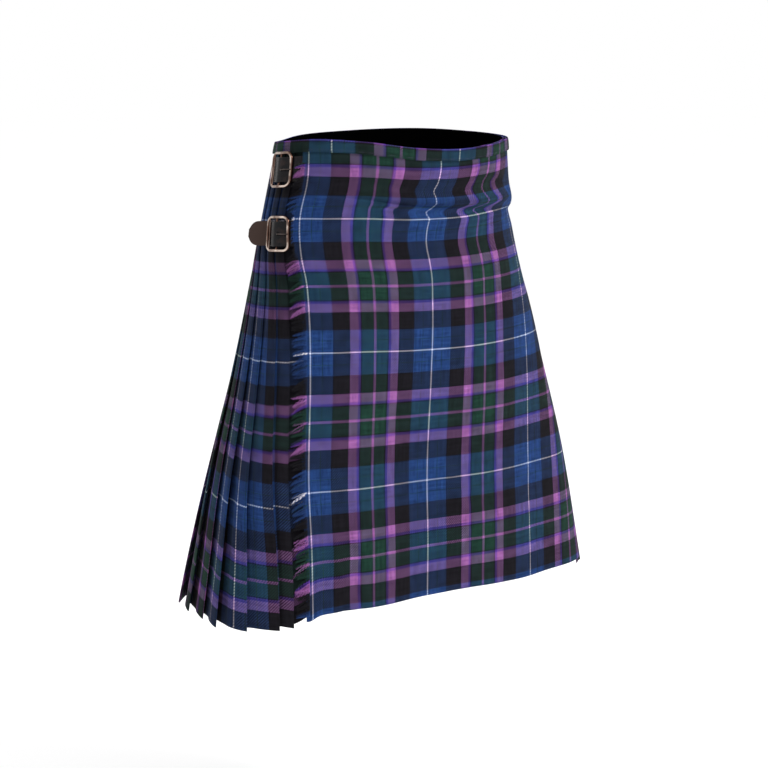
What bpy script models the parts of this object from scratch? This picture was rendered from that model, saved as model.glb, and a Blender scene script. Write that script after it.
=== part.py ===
"""A pleated wrap kilt in its worn, hollow shape, in metres with +Z up.

The wearer would face -Y, so the wearer's right is -X. The origin is the middle of the waist, at rim height.
Every piece is placed on one waist-to-hem surface: u runs round the body from the over apron's white line
towards the wearer's left, depth runs down the cloth from the rim, and out is the distance off the surface.
"""

from math import cos, pi, sin

import bmesh
import bpy
import numpy as np

LENGTH = 0.610
WALL = 0.0012
GAP = 0.0003

# Plan of the worn cloth at five depths. The front and the back are two halves of one rounded oval.
SECTIONS = np.array([
    # depth, height, half_width, front, back, middle_x, middle_y, squareness
    (0.000, 0.0000, 0.1682, 0.1169, 0.115, 0.0006, 0.0003, 2.11),
    (0.092, -0.0912, 0.1831, 0.1038, 0.127, -0.0013, 0.0018, 2.27),
    (0.272, -0.2688, 0.2241, 0.0953, 0.150, 0.0032, -0.0052, 2.59),
    (0.452, -0.4454, 0.2668, 0.0969, 0.173, 0.0023, -0.0171, 2.92),
    (0.610, -0.6041, 0.2988, 0.0975, 0.193, -0.0048, -0.0269, 3.20),
])

# How far the over apron's white line hangs from the wearer's right side. The lower strap pulls it back.
LINE = np.array([
    # depth, hip_to_line
    (0.000, 0.0465),
    (0.050, 0.0522),
    (0.100, 0.0490),
    (0.145, 0.0568),
    (0.180, 0.0685),
    (0.230, 0.0795),
    (0.300, 0.0915),
    (0.450, 0.1170),
    (0.530, 0.1360),
    (0.610, 0.1530),
])

# Height of the rim round the waist, by the share of the way round from the wearer's right.
RIM = np.array([
    # way_round, rise
    (0.00, 0.010),
    (0.06, 0.014),
    (0.13, 0.011),
    (0.21, 0.002),
    (0.28, -0.001),
    (0.355, 0.003),
    (0.42, 0.008),
    (0.52, 0.013),
    (0.62, 0.018),
    (0.76, 0.016),
    (0.85, 0.012),
    (0.90, 0.007),
])

# Soft waves of the over and under aprons, as humps along a slanted line down the cloth.
WAVES = np.array([
    # u_at_rim, u_at_hem, start, end, half_width, height
    (0.000, 0.020, 0.30, 0.75, 0.030, -0.0030),
    (0.060, 0.075, 0.34, 0.75, 0.034, 0.0035),
    (0.150, 0.170, 0.30, 0.75, 0.045, -0.0030),
    (0.250, 0.290, 0.26, 0.75, 0.050, 0.0035),
    (0.330, 0.400, 0.30, 0.75, 0.040, -0.0030),
])
NIP_AT_MIDDLE = 0.074
NIP_AT_SIDE = 0.098
NIP_SLOPES = (0.20, 0.34)
NIP_BAND = 0.016
NIP_OUT = 0.0028
NIP_FADES_IN = (0.10, 0.22)
WAVES_FADE_IN = (-0.03, 0.0)
WAVES_FADE_OUT = (0.012, 0.060)
PLAN_POINTS = 720

# The layers, as the outward offset of each wall's inner face.
LINING_IN = -0.0061
LINING_WALL = 0.0010
LOW_IN = -0.0042
MID_IN = LOW_IN + WALL + GAP
TOP_IN = MID_IN + WALL + GAP
BAND_GAP = 0.0008

APRON_EDGE = -0.009
APRON_AT_WAIST = 0.411
APRON_AT_HEM = 0.491
APRON_END_CURVE = 1.3
APRON_COLUMNS = 30
ROWS = (0.0, 0.015, 0.03, 0.06, 0.078, 0.095, 0.12, 0.15, 0.18, 0.24, 0.32, 0.40, 0.48, 0.55, LENGTH)
EDGE_LIFT = 0.0030
LIFT_AT_RIGHT = (0.055, 0.030)
LIFT_AT_LEFT = (0.086, 0.066)
LEFT_LIFT_ENDS = (0.11, 0.07)
LEFT_SHARE = 0.9
UNDER_EDGE_COLUMNS = 3

PLEATS = 26
FIRST_FOLD = 0.027
FIRST_REVEAL = 0.020
FIRST_COLUMNS = 4
FIRST_OPENING = 0.45
FELL = 0.17
PLEAT_ROWS = (0.0, 0.06, 0.12, 0.18, 0.24, 0.32, 0.40, 0.48, 0.55, LENGTH)
PLEAT_GROUPS = (("pleats_right", 0, 8), ("pleats_back", 8, 17), ("pleats_left", 17, PLEATS))
FOLDED_UNDER = 0.50
FOLDED_MORE_AT_HEM = 0.12
FACE_FLAT = 0.0015
FACE_LEAD = 0.11
LIFT_OF_INNER = 0.10
LIFT_OF_MIDDLE = 0.50
LIFT_OF_NEXT = 0.25
HEM_OPENING = 0.0095
HEM_UNEVEN = 0.25
HEM_DROP = 0.009
FOLD_DROP = 0.003
SEAM_LAP = 0.010
SEAM_PLAY = 0.0006

BAND_HEIGHT = 0.0150
BAND_ABOVE = 0.001
BAND_STEPS = (0.009, 0.016, 0.022)
LINING_ROWS = (0.002, 0.03, 0.06, 0.078, 0.095)
LINING_COLUMNS = 60
LINING_JOIN = 0.001
SEAM_FREE = (0.02, 0.06)

STRANDS = 130
STRAND_LENGTH = 0.0150
STRAND_THICK = 0.0014
STRAND_UNEVEN = 0.08
STRAND_DROOP = 0.62
STRAND_BEND = 0.36
STRAND_WAVE = 0.0004
STRAND_TIP_RISE = 0.0006
ROOT_STRIP = 0.0018
FRINGE_TOP = 0.028
FRINGE_END = LENGTH - 0.001
OVER_STRAP = (0.012, 0.018, 0.054, 0.060)
OVER_STRAP_RISE = 0.0018
OVER_STRAP_TIP_RISE = 0.0028
FRINGE_TRIM = (
    # above, start, end, below, short
    (-0.100, -0.050, 0.0600, 0.0645, 0.0095),
    (0.078, 0.093, 0.1435, 0.1470, 0.0012),
)

STRAP_WIDTH = 0.032
STRAP_THICK = 0.0018
STRAP_STEP = 0.007
TAB_THICK = 0.0024
TAB_WIDTH = 0.018
FRAME_HEIGHT = 0.047
FRAME_WIDTH = 0.042
FRAME_CORNER = 0.008
WIRE = 0.0020
WIRE_SIDES = 6
CORNER_STEPS = 3
BAR = 0.0014
KEEPER = 0.0009
KEEPER_IN = 0.0052
KEEPER_RISE = 0.0007
PLAY = 0.0007
HUMP = 0.006
HUMP_FALL = 0.0012
RAIL_STEP = 0.005
RAIL_RISE = 0.0005
PAST_FRAME = 0.003
TIP_ROUNDS = (0.3, 0.55, 0.8, 0.93, 1.0)
TIP_NARROWS_BY = 0.72
TIP_CURVE = 2.4
HOLE_FROM_BAR = (0.0030, 0.0075)
HOLE_HALF = 0.0021
HOLE_CUT = (-0.002, 0.014)
TAB_TRIM = 0.003
TAB_THIN = 0.0008

TWILL = (0.05, 0.09, 0.20)
LINING_BLACK = (0.008, 0.008, 0.009)
LEATHER = (0.035, 0.022, 0.017)
CHROME = (0.75, 0.72, 0.70)


def clear_scene():
    for item in list(bpy.data.objects):
        bpy.data.objects.remove(item, do_unlink=True)


def material(name, colour, roughness, metallic=0.0):
    made = bpy.data.materials.new(name)
    made.use_nodes = True
    shader = made.node_tree.nodes["Principled BSDF"]
    shader.inputs["Base Color"].default_value = (*colour, 1.0)
    shader.inputs["Roughness"].default_value = roughness
    shader.inputs["Metallic"].default_value = metallic
    return made


def smooth(low, high, value):
    """0 below low, 1 above high and a soft step between, for low over high too."""
    share = np.clip((value - low) / (high - low), 0.0, 1.0)
    return share * share * (3.0 - 2.0 * share)


def curve_through(table, column, at):
    """A smooth curve through one column of a table, whose first column is where each row lies."""
    xs, ys = table[:, 0], table[:, column]
    slopes = np.gradient(ys, xs)
    at = np.clip(at, xs[0], xs[-1])
    row = np.clip(np.searchsorted(xs, at) - 1, 0, len(xs) - 2)
    span = xs[row + 1] - xs[row]
    t = (at - xs[row]) / span
    return (
        ys[row] * (1 + 2 * t) * (1 - t) ** 2
        + slopes[row] * span * t * (1 - t) ** 2
        + ys[row + 1] * t * t * (3 - 2 * t)
        + slopes[row + 1] * span * t * t * (t - 1)
    )


plans = {}


def plan(depth):
    """The plan curve at one depth: its arc length from the wearer's right, its points and its normals."""
    key = round(float(depth), 5)
    if key not in plans:
        inside = np.clip(depth, 0.0, LENGTH)
        half_width, front, back, middle_x, middle_y, power = (
            curve_through(SECTIONS, column, inside) for column in range(2, 8)
        )
        hip = curve_through(LINE, 1, inside)
        turn = np.linspace(-pi, pi, 2 * PLAN_POINTS + 1)
        across, along = np.cos(turn), np.sin(turn)
        x = middle_x + half_width * np.sign(across) * np.abs(across) ** (2 / power)
        reach = np.where(along < 0, front, back)
        y = middle_y + reach * np.sign(along) * np.abs(along) ** (2 / power)
        steps = np.hypot(np.diff(x), np.diff(y))
        arc = np.concatenate([[0.0], np.cumsum(steps)])
        even = np.linspace(0.0, arc[-1], PLAN_POINTS + 1)
        x, y = np.interp(even, arc, x), np.interp(even, arc, y)
        dx = np.gradient(np.concatenate([x[-4:-1], x, x[1:4]]))[3:-3]
        dy = np.gradient(np.concatenate([y[-4:-1], y, y[1:4]]))[3:-3]
        size = np.hypot(dx, dy)
        plans[key] = {"arc": even, "x": x, "y": y, "nx": dy / size, "ny": -dx / size, "hip": hip}
    return plans[key]


def round_length(depth):
    return plan(depth)["arc"][-1]


def apron_end(depth):
    """Where the over apron meets the pleats on the wearer's left."""
    return APRON_AT_WAIST + (APRON_AT_HEM - APRON_AT_WAIST) * (max(depth, 0.0) / LENGTH) ** APRON_END_CURVE


def over_columns(depth):
    return np.linspace(APRON_EDGE, apron_end(depth), APRON_COLUMNS + 1)


def under_columns(depth):
    """The under apron's columns: the seam at the wearer's right, then the over apron's own, short of its end."""
    return np.concatenate([[GAP], over_columns(depth)[1:-UNDER_EDGE_COLUMNS]])


def wave(u, depth):
    """The aprons' shared waves: soft vertical ones towards the hem and one nip across under the waist."""
    total = np.zeros_like(u)
    share = depth / LENGTH
    for at_rim, at_hem, start, end, half_width, height in WAVES:
        middle = at_rim + (at_hem - at_rim) * share
        total += height * smooth(start, end, share) * np.exp(-(((u - middle) / half_width) ** 2))
    below_nip = depth - NIP_AT_MIDDLE - (NIP_AT_SIDE - NIP_AT_MIDDLE) * smooth(*NIP_SLOPES, u)
    nip = np.exp(-(((below_nip + NIP_BAND) / NIP_BAND) ** 2))
    nip -= np.exp(-(((below_nip - 0.3 * NIP_BAND) / (0.7 * NIP_BAND)) ** 2))
    total += NIP_OUT * nip * smooth(*NIP_FADES_IN, u)
    before_end = apron_end(depth) - u
    return total * smooth(*WAVES_FADE_IN, u) * smooth(*WAVES_FADE_OUT, before_end)


def edge_lift(u, depth):
    """How far the over apron stands off what it laps: along its fringed edge, and over the left strap."""
    right = smooth(*LIFT_AT_RIGHT, u)
    left = smooth(*LIFT_AT_LEFT, apron_end(depth) - u) * smooth(*LEFT_LIFT_ENDS, depth)
    return EDGE_LIFT * (right + LEFT_SHARE * left)


def surface(u, depth, out, drop=0.0):
    """Points at distances u round the body, at one depth and at offsets out, as rows of x, y, z."""
    u, out, drop = np.broadcast_arrays(np.atleast_1d(u).astype(float), out, drop)
    ring = plan(depth)
    arc = np.mod(ring["hip"] + u, ring["arc"][-1])
    x, y, nx, ny = (np.interp(arc, ring["arc"], ring[name]) for name in ("x", "y", "nx", "ny"))
    away = out + wave(u, depth)
    way = arc / ring["arc"][-1]
    wrapped = np.vstack([RIM, (1.0 + RIM[0, 0], RIM[0, 1]), (1.0 + RIM[1, 0], RIM[1, 1])])
    rise = curve_through(wrapped, 1, way) * (1.0 - max(depth, 0.0) / LENGTH)
    height = curve_through(SECTIONS, 1, depth) - min(depth, 0.0)
    return np.stack([x + nx * away, y + ny * away, height + rise - drop], axis=-1)


def on_rows(rows, u, depth, out):
    """The same as surface, but on the straight run between the two rows of a cloth wall round this depth."""
    below = min(max(int(np.searchsorted(rows, depth)), 1), len(rows) - 1)
    high, low = rows[below - 1], rows[below]
    share = (depth - high) / (low - high)
    return (1.0 - share) * surface(u, high, out) + share * surface(u, low, out)


def add_object(name, points, faces, look, smooth_shading=True):
    mesh = bpy.data.meshes.new(name)
    mesh.from_pydata([tuple(p) for p in points], [], faces)
    mesh.materials.append(look)
    if smooth_shading:
        mesh.shade_smooth()
        mesh.set_sharp_from_angle(angle=0.6)
    made = bpy.data.objects.new(name, mesh)
    bpy.context.scene.collection.objects.link(made)
    return made


def shell(name, outer, inner, look):
    """A closed wall between two grids of points: rows run down and columns run with u."""
    rows, columns = outer.shape[:2]
    points = np.concatenate([outer.reshape(-1, 3), inner.reshape(-1, 3)])
    half = rows * columns

    def at(row, column, side):
        return side * half + row * columns + column

    faces = []
    for r in range(rows - 1):
        for c in range(columns - 1):
            faces.append((at(r, c, 0), at(r + 1, c, 0), at(r + 1, c + 1, 0), at(r, c + 1, 0)))
            faces.append((at(r, c, 1), at(r, c + 1, 1), at(r + 1, c + 1, 1), at(r + 1, c, 1)))
    for c in range(columns - 1):
        last = rows - 1
        faces.append((at(0, c, 0), at(0, c + 1, 0), at(0, c + 1, 1), at(0, c, 1)))
        faces.append((at(last, c, 0), at(last, c, 1), at(last, c + 1, 1), at(last, c + 1, 0)))
    for r in range(rows - 1):
        last = columns - 1
        faces.append((at(r, 0, 0), at(r, 0, 1), at(r + 1, 0, 1), at(r + 1, 0, 0)))
        faces.append((at(r, last, 0), at(r + 1, last, 0), at(r + 1, last, 1), at(r, last, 1)))
    return add_object(name, points, faces, look)


def sheet(name, columns_at, depths, inner_at, wall, look):
    """A cloth wall: columns_at gives its u values at a depth, inner_at its inner face's offset there."""
    outer, inner = [], []
    for depth in depths:
        u = columns_at(depth)
        offset = inner_at(u, depth)
        inner.append(surface(u, depth, offset))
        outer.append(surface(u, depth, offset + wall))
    return shell(name, np.array(outer), np.array(inner), look)


def make_over_apron(look):
    def inner_at(u, depth):
        return TOP_IN + edge_lift(u, depth)

    sheet("over_apron", over_columns, ROWS, inner_at, WALL, look)


def seamed_sheet(name, columns_at, depths, inner_at, wall, look):
    """A cloth wall that runs straight between the pleats' rows on their side of the seam, to lie along them."""
    outer, inner = [], []
    for depth in depths:
        u = columns_at(depth)
        free = smooth(*SEAM_FREE, u)[:, None]
        for grid, offset in ((outer, inner_at + wall), (inner, inner_at)):
            seamed = on_rows(PLEAT_ROWS, u, depth, offset)
            grid.append((1.0 - free) * seamed + free * surface(u, depth, offset))
    shell(name, np.array(outer), np.array(inner), look)


def make_under_apron(look):
    seamed_sheet("under_apron", under_columns, ROWS, LOW_IN, WALL, look)


def make_lining(look):
    def columns_at(depth):
        end = under_columns(depth)[-1]
        return np.linspace(end - round_length(depth) + LINING_JOIN, end, LINING_COLUMNS + 1)

    seamed_sheet("lining", columns_at, LINING_ROWS, LINING_IN, LINING_WALL, look)


def pleat_places(depth):
    """Distance back from the white line of every fold edge, and of the over apron's left edge last."""
    end = round_length(depth) - apron_end(depth)
    return np.concatenate([[FIRST_FOLD], np.linspace(FIRST_FOLD + FIRST_REVEAL, end, PLEATS)])


def pleat_wall(first, last, depth):
    """Both sides of a run of knife pleats at one depth, as (distance back, offset, drop) rows."""
    fold = pleat_places(depth)
    share = depth / LENGTH
    reveals = np.append(np.diff(fold), fold[-1] - fold[-2])
    hidden = reveals * (FOLDED_UNDER + FOLDED_MORE_AT_HEM * share)
    open_share = smooth(FELL, LENGTH, depth)
    low, mid, top = LOW_IN, MID_IN, TOP_IN
    drop = HEM_DROP * share**2

    def lift_of(k):
        under_fringe = FIRST_OPENING if k == 0 else 1.0
        return under_fringe * HEM_OPENING * open_share * (1.0 + HEM_UNEVEN * sin(2.4 * k + 0.6))

    def seam(k):
        return 0.0 if k == 0 else fold[k] + 0.5 * hidden[k]

    starts = np.linspace(0.0, FIRST_FOLD, FIRST_COLUMNS) if first == 0 else [seam(first)]
    drops = [drop * smooth(0.0, FIRST_FOLD, start) for start in starts]
    face = [(start, low + WALL, start_drop) for start, start_drop in zip(starts, drops)]
    back = [(start, low, start_drop) for start, start_drop in zip(starts, drops)]
    for k in range(first, last):
        lift = lift_of(k)
        fold_drop = drop + FOLD_DROP * open_share
        inner_fold = fold[k] + hidden[k]
        flat = hidden[k] + FACE_FLAT
        lead = FACE_LEAD * reveals[k]
        low_lift = LIFT_OF_NEXT * lift if k + 1 < PLEATS else 0.0
        next_low = low if k + 1 < PLEATS else mid - SEAM_PLAY
        face += [
            (inner_fold - WALL, low + WALL, drop),
            (inner_fold - WALL, mid + LIFT_OF_INNER * lift, drop),
            (fold[k], mid + lift, fold_drop),
            (fold[k], top + WALL + lift, fold_drop),
            (fold[k] + flat, top + WALL + LIFT_OF_MIDDLE * lift, drop),
            (fold[k + 1] - lead, next_low + WALL + low_lift, drop),
        ]
        back += [
            (inner_fold, low, drop),
            (inner_fold, mid + WALL + LIFT_OF_INNER * lift, drop),
            (fold[k] + WALL, mid + WALL + lift, fold_drop),
            (fold[k] + WALL, top + lift, fold_drop),
            (fold[k] + flat, top + LIFT_OF_MIDDLE * lift, drop),
            (fold[k + 1] - lead, next_low + low_lift, drop),
        ]
    if last == PLEATS:
        stop = fold[PLEATS] + SEAM_LAP
        face.append((stop, mid - SEAM_PLAY + WALL, drop))
        back.append((stop, mid - SEAM_PLAY, drop))
    else:
        face.append((seam(last) - GAP, low + WALL, drop))
        back.append((seam(last) - GAP, low, drop))
    return np.array(face), np.array(back)


def make_pleats(name, first, last, look):
    outer, inner = [], []
    for depth in PLEAT_ROWS:
        face, back = pleat_wall(first, last, depth)
        for grid, side in ((outer, face), (inner, back)):
            side = side[::-1]
            grid.append(surface(-side[:, 0], depth, side[:, 1], side[:, 2]))
    shell(name, np.array(outer), np.array(inner), look)


def band_columns(depth):
    """The waistband's distances back over the pleats: each fold edge and each face's middle."""
    fold = pleat_places(depth)
    return np.sort(np.concatenate([fold[:-1], 0.5 * (fold[:-1] + fold[1:])]))


def make_waistband(look):
    """One strip on the outside of the waist, in two turns: the under apron, the back, the over apron."""
    depths = (-BAND_ABOVE, BAND_HEIGHT)
    outer, inner = [], []
    for depth in depths:
        at = max(depth, 0.0)
        total = round_length(at)
        under = under_columns(at)[::-1]
        over = over_columns(at)[::-1]
        step = -np.array(BAND_STEPS)
        back = -band_columns(at)
        u = np.concatenate([under, step, back, over - total])
        flat_under = np.full(len(under), MID_IN)
        above_pleats = TOP_IN + WALL + BAND_GAP
        rising = np.linspace(MID_IN, above_pleats, len(BAND_STEPS))
        on_pleats = np.full(len(back), above_pleats)
        on_apron = above_pleats + edge_lift(over, at)
        offset = np.concatenate([flat_under, rising, on_pleats, on_apron])
        order = slice(None, None, -1)
        inner.append(surface(u[order], depth, offset[order] + wave_shift(u[order], total, depth)))
        outer.append(surface(u[order], depth, offset[order] + WALL + wave_shift(u[order], total, depth)))
    shell("waistband", np.array(outer), np.array(inner), look)


def wave_shift(u, total, depth):
    """The aprons' wave for the band's second turn, whose u is a whole turn less than the apron's."""
    turned = u < -0.5 * total
    return np.where(turned, wave(u + total, depth), 0.0)


def strand_reach(depth):
    """A strand's length by where its root is: shorter where a buckle's frame stands in its way."""
    reach = STRAND_LENGTH
    for above, start, end, below, short in FRINGE_TRIM:
        trimmed = smooth(above, start, depth) * smooth(below, end, depth)
        reach += (short - reach) * trimmed
    return reach


def make_fringe(look):
    """Strands off the over apron's edge, their roots fused into one narrow strip."""
    inner = TOP_IN + EDGE_LIFT
    start = -APRON_EDGE + GAP
    root = start + ROOT_STRIP
    edges = np.linspace(FRINGE_TOP, FRINGE_END, 2 * STRANDS)
    points, faces = [], []
    for depth in edges:
        back = -np.array([start, root, root, start])
        points.extend(on_rows(ROWS, back, depth, inner + WALL * np.array([1.0, 1.0, 0.0, 0.0])))
    for i in range(len(edges) - 1):
        a, b = 4 * i, 4 * (i + 1)
        for side in (0, 1, 2, 3):
            if side == 1 and i % 2 == 0:
                continue
            other = (side + 1) % 4
            faces.append((a + side, a + other, b + other, b + side))
    faces.append((3, 2, 1, 0))
    last = 4 * (len(edges) - 1)
    faces.append((last, last + 1, last + 2, last + 3))
    for strand in range(STRANDS):
        a, b = 8 * strand, 8 * strand + 4
        root_ring = (a + 1, a + 2, b + 2, b + 1)
        middle = 0.5 * (edges[2 * strand] + edges[2 * strand + 1])
        reach = strand_reach(middle) * (1.0 - STRAND_UNEVEN * (1.0 - sin(1.9 * strand)))
        droop = STRAND_DROOP * reach * (1.0 + 0.3 * sin(0.35 * strand))
        above, start_strap, end_strap, below = OVER_STRAP
        over_strap = smooth(above, start_strap, middle) * smooth(below, end_strap, middle)
        half = 0.5 * STRAND_THICK
        bend = middle + STRAND_BEND * droop
        rise = inner + OVER_STRAP_RISE * over_strap + STRAND_WAVE * sin(1.3 * strand)
        base = len(points)
        for up, out in ((-half, WALL), (-half, 0.0), (half, 0.0), (half, WALL)):
            depth = min(bend + up, FRINGE_END + up)
            points.extend(on_rows(ROWS, -(root + 0.5 * reach), depth, rise + out))
        tip_rise = inner + STRAND_TIP_RISE + OVER_STRAP_TIP_RISE * over_strap
        points.extend(on_rows(ROWS, -(root + reach), min(middle + droop, FRINGE_END), tip_rise))
        for side in range(4):
            other = (side + 1) % 4
            faces.append((root_ring[side], root_ring[other], base + other, base + side))
            faces.append((base + side, base + other, base + 4))
    face_out(add_object("apron_fringe", points, faces, look))


def face_out(made):
    work = bmesh.new()
    work.from_mesh(made.data)
    bmesh.ops.recalc_face_normals(work, faces=work.faces)
    work.to_mesh(made.data)
    work.free()


# Where each fastening lies: the depth of its middle, the offset of the cloth under it, how far its frame
# stands from the apron's edge, how far its tip reaches and how far that tip lifts off.
FASTENINGS = (
    # name, hip, depth, seat, frame_start, tip, tip_lift
    ("upper_right", "right", 0.036, 0.0024, 0.0130, 0.066, 0.000),
    ("lower_right", "right", 0.119, 0.0004, 0.0045, 0.077, 0.016),
    ("left", "left", 0.046, 0.0004, 0.0120, 0.062, 0.000),
)

# The stretch of each strap between its cloth, where it is sewn on, and the apron's edge.
STRAP_ROOTS = {
    # hip: (along, offset of the inner face)
    "right": ((-0.036, -0.0008), (0.0025, -0.0008)),
    "left": ((-0.062, -0.0021), (-0.040, -0.0021), (-0.015, -0.0012), (0.0015, -0.0012), (0.006, 0.0004)),
}


def hip_seat(hip, depth, along, up, out):
    """A point of a fastening: along from the apron's edge, up from the strap's middle, and out."""
    here = depth - up
    u = APRON_EDGE - along if hip == "right" else apron_end(here) + along
    return on_rows(ROWS, u, here, out)[0]


def ribbon(name, hip, depth, stations, look):
    """A leather strip through stations of (along, offset of its inner face, half width)."""
    faces, points = [], []
    for along, inner, half_width, thick in stations:
        for up, out in ((half_width, inner), (half_width, inner + thick), (0.0, inner + thick),
                        (-half_width, inner + thick), (-half_width, inner), (0.0, inner)):
            points.append(hip_seat(hip, depth, along, up, out))
    count = len(stations)
    for i in range(count - 1):
        for side in range(6):
            nxt = (side + 1) % 6
            faces.append((6 * i + side, 6 * i + nxt, 6 * i + 6 + nxt, 6 * i + 6 + side))
    faces.append(tuple(range(6)))
    faces.append(tuple(range(6 * count - 1, 6 * count - 7, -1)))
    made = add_object(name, points, faces, look)
    face_out(made)
    return made


def stepped(route):
    """The route with points added on its long stretches, so that it bends with the cloth."""
    fine = [route[0]]
    for (start, low), (end, high) in zip(route, route[1:]):
        count = max(1, round((end - start) / STRAP_STEP))
        for step in range(1, count + 1):
            share = step / count
            fine.append((start + (end - start) * share, low + (high - low) * share))
    return fine


def make_strap(name, hip, depth, seat, frame_start, tip, tip_lift, look):
    """The strap runs under the frame's first side, over its middle bar and under its far side."""
    low = seat
    high = frame_plane(seat) + BAR + PLAY
    middle = frame_start + 0.5 * FRAME_WIDTH
    far = frame_start + FRAME_WIDTH
    route = [
        *STRAP_ROOTS[hip],
        (frame_start, low),
        (frame_start + RAIL_STEP, low + RAIL_RISE),
        (middle - HUMP, high - HUMP_FALL),
        (middle, high),
        (middle + HUMP, high - HUMP_FALL),
        (far - RAIL_STEP, low + RAIL_RISE),
        (far, low),
        (far + PAST_FRAME, low),
    ]
    half = 0.5 * STRAP_WIDTH
    stations = [(along, inner, half, STRAP_THICK) for along, inner in stepped(route)]
    bend_start = far + PAST_FRAME
    straight = TIP_ROUNDS[0]
    for share in TIP_ROUNDS:
        along = bend_start + (tip - bend_start) * share
        narrowing = TIP_NARROWS_BY * ((share - straight) / (1.0 - straight)) ** TIP_CURVE
        stations.append((along, low + tip_lift * share, half * (1.0 - narrowing), STRAP_THICK))
    strap = ribbon(name, hip, depth, stations, look)
    near, away = (middle - distance for distance in HOLE_FROM_BAR)
    below, above = (seat + cut for cut in HOLE_CUT)
    hole = box_between(name + "_hole", hip, depth, away, near, HOLE_HALF, below, above)
    cut_away(strap, hole)


def frame_plane(seat):
    return seat + STRAP_THICK + PLAY + WIRE


def box_between(name, hip, depth, start, end, half_width, low, high):
    """A plain block used only as a cutter."""
    points = [
        hip_seat(hip, depth, along, up, out)
        for along in (start, end)
        for up in (-half_width, half_width)
        for out in (low, high)
    ]
    faces = [(0, 1, 3, 2), (4, 6, 7, 5), (0, 4, 5, 1), (2, 3, 7, 6), (0, 2, 6, 4), (1, 5, 7, 3)]
    made = add_object(name, points, faces, bpy.data.materials["leather"], smooth_shading=False)
    face_out(made)
    return made


def cut_away(target, cutter):
    cut = target.modifiers.new("hole", "BOOLEAN")
    cut.operation = "DIFFERENCE"
    cut.object = cutter
    cutter.hide_render = True
    cutter.display_type = "WIRE"


def make_frame(name, hip, depth, seat, frame_start, look):
    """A rounded rectangle of wire with a middle bar and a thin keeper bar, welded into one solid."""
    plane = frame_plane(seat)
    half_wide, half_high = 0.5 * FRAME_WIDTH - WIRE, 0.5 * FRAME_HEIGHT - WIRE
    middle = frame_start + 0.5 * FRAME_WIDTH
    path = []
    for corner in range(4):
        side = (1 if corner in (0, 3) else -1, 1 if corner in (0, 1) else -1)
        for step in range(CORNER_STEPS + 1):
            turn = 0.5 * pi * (corner + step / CORNER_STEPS)
            path.append((
                side[0] * (half_wide - FRAME_CORNER) + FRAME_CORNER * cos(turn),
                side[1] * (half_high - FRAME_CORNER) + FRAME_CORNER * sin(turn),
                cos(turn),
                sin(turn),
            ))
    sides = WIRE_SIDES
    points, faces = [], []
    for wide, high, away_x, away_y in path:
        for i in range(sides):
            turn = 2 * pi * (i + 0.5) / sides
            off, up = WIRE * cos(turn), WIRE * sin(turn)
            along = middle + wide + off * away_x
            points.append(hip_seat(hip, depth, along, high + off * away_y, plane + up))
    count = len(path)
    for ring in range(count):
        for i in range(sides):
            a, b = ring * sides, ((ring + 1) % count) * sides
            j = (i + 1) % sides
            faces.append((a + i, a + j, b + j, b + i))
    frame = add_object(name, points, faces, look)
    face_out(frame)
    bars = (
        ("middle_bar", middle, plane, BAR),
        ("keeper_bar", middle + half_wide - KEEPER_IN, plane + KEEPER_RISE, KEEPER),
    )
    for bar_name, along, level, radius in bars:
        bar = make_bar(name + "_" + bar_name, hip, depth, along, level, radius, half_high, look)
        weld = frame.modifiers.new(bar_name, "BOOLEAN")
        weld.operation = "UNION"
        weld.object = bar
        bar.hide_render = True
        bar.display_type = "WIRE"


def make_bar(name, hip, depth, along, level, radius, half_high, look):
    """A straight bar from rail to rail, its ends inside the rails."""
    sides = WIRE_SIDES
    points, faces = [], []
    for up in (-half_high, half_high):
        for i in range(sides):
            turn = 2 * pi * i / sides
            points.append(hip_seat(hip, depth, along + radius * cos(turn), up, level + radius * sin(turn)))
    for i in range(sides):
        j = (i + 1) % sides
        faces.append((i, j, sides + j, sides + i))
    faces.append(tuple(range(sides)))
    faces.append(tuple(range(2 * sides - 1, sides - 1, -1)))
    bar = add_object(name, points, faces, look)
    face_out(bar)
    return bar


def make_prong(name, hip, depth, seat, frame_start, look):
    """The prong stands in the strap's hole just over the middle bar and lies on the frame's first side."""
    plane = frame_plane(seat)
    middle = frame_start + 0.5 * FRAME_WIDTH
    strap_top = plane + BAR + PLAY + STRAP_THICK
    rail_top = plane + WIRE + GAP
    stations = (
        # along, inner face, half width, thickness
        (middle - 0.0034, plane + BAR + PLAY - 0.0016, 0.0012, 0.0016),
        (middle - 0.0046, plane + BAR + PLAY + 0.0002, 0.0013, 0.0018),
        (middle - 0.0058, strap_top + GAP, 0.0014, 0.0016),
        (middle - 0.0100, rail_top + 0.0012, 0.0013, 0.0016),
        (frame_start + 0.0030, rail_top, 0.0011, 0.0014),
        (frame_start + 0.0004, rail_top - 0.0002, 0.0008, 0.0010),
    )
    ribbon(name, hip, depth, stations, look)


def make_tab(name, hip, depth, seat, frame_start, look):
    """The folded leather tab, sewn on the cloth, which carries the frame's middle bar."""
    middle = frame_start + 0.5 * FRAME_WIDTH
    half = 0.5 * STRAP_WIDTH
    stations = [
        (middle + across * TAB_WIDTH, seat, half - trim, TAB_THICK - thin)
        for across, trim, thin in (
            (-0.5, TAB_TRIM, TAB_THIN), (-0.4, 0.0, 0.0), (0.0, 0.0, 0.0), (0.4, 0.0, 0.0), (0.5, TAB_TRIM, TAB_THIN)
        )
    ]
    ribbon(name, hip, depth, stations, look)


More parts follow.
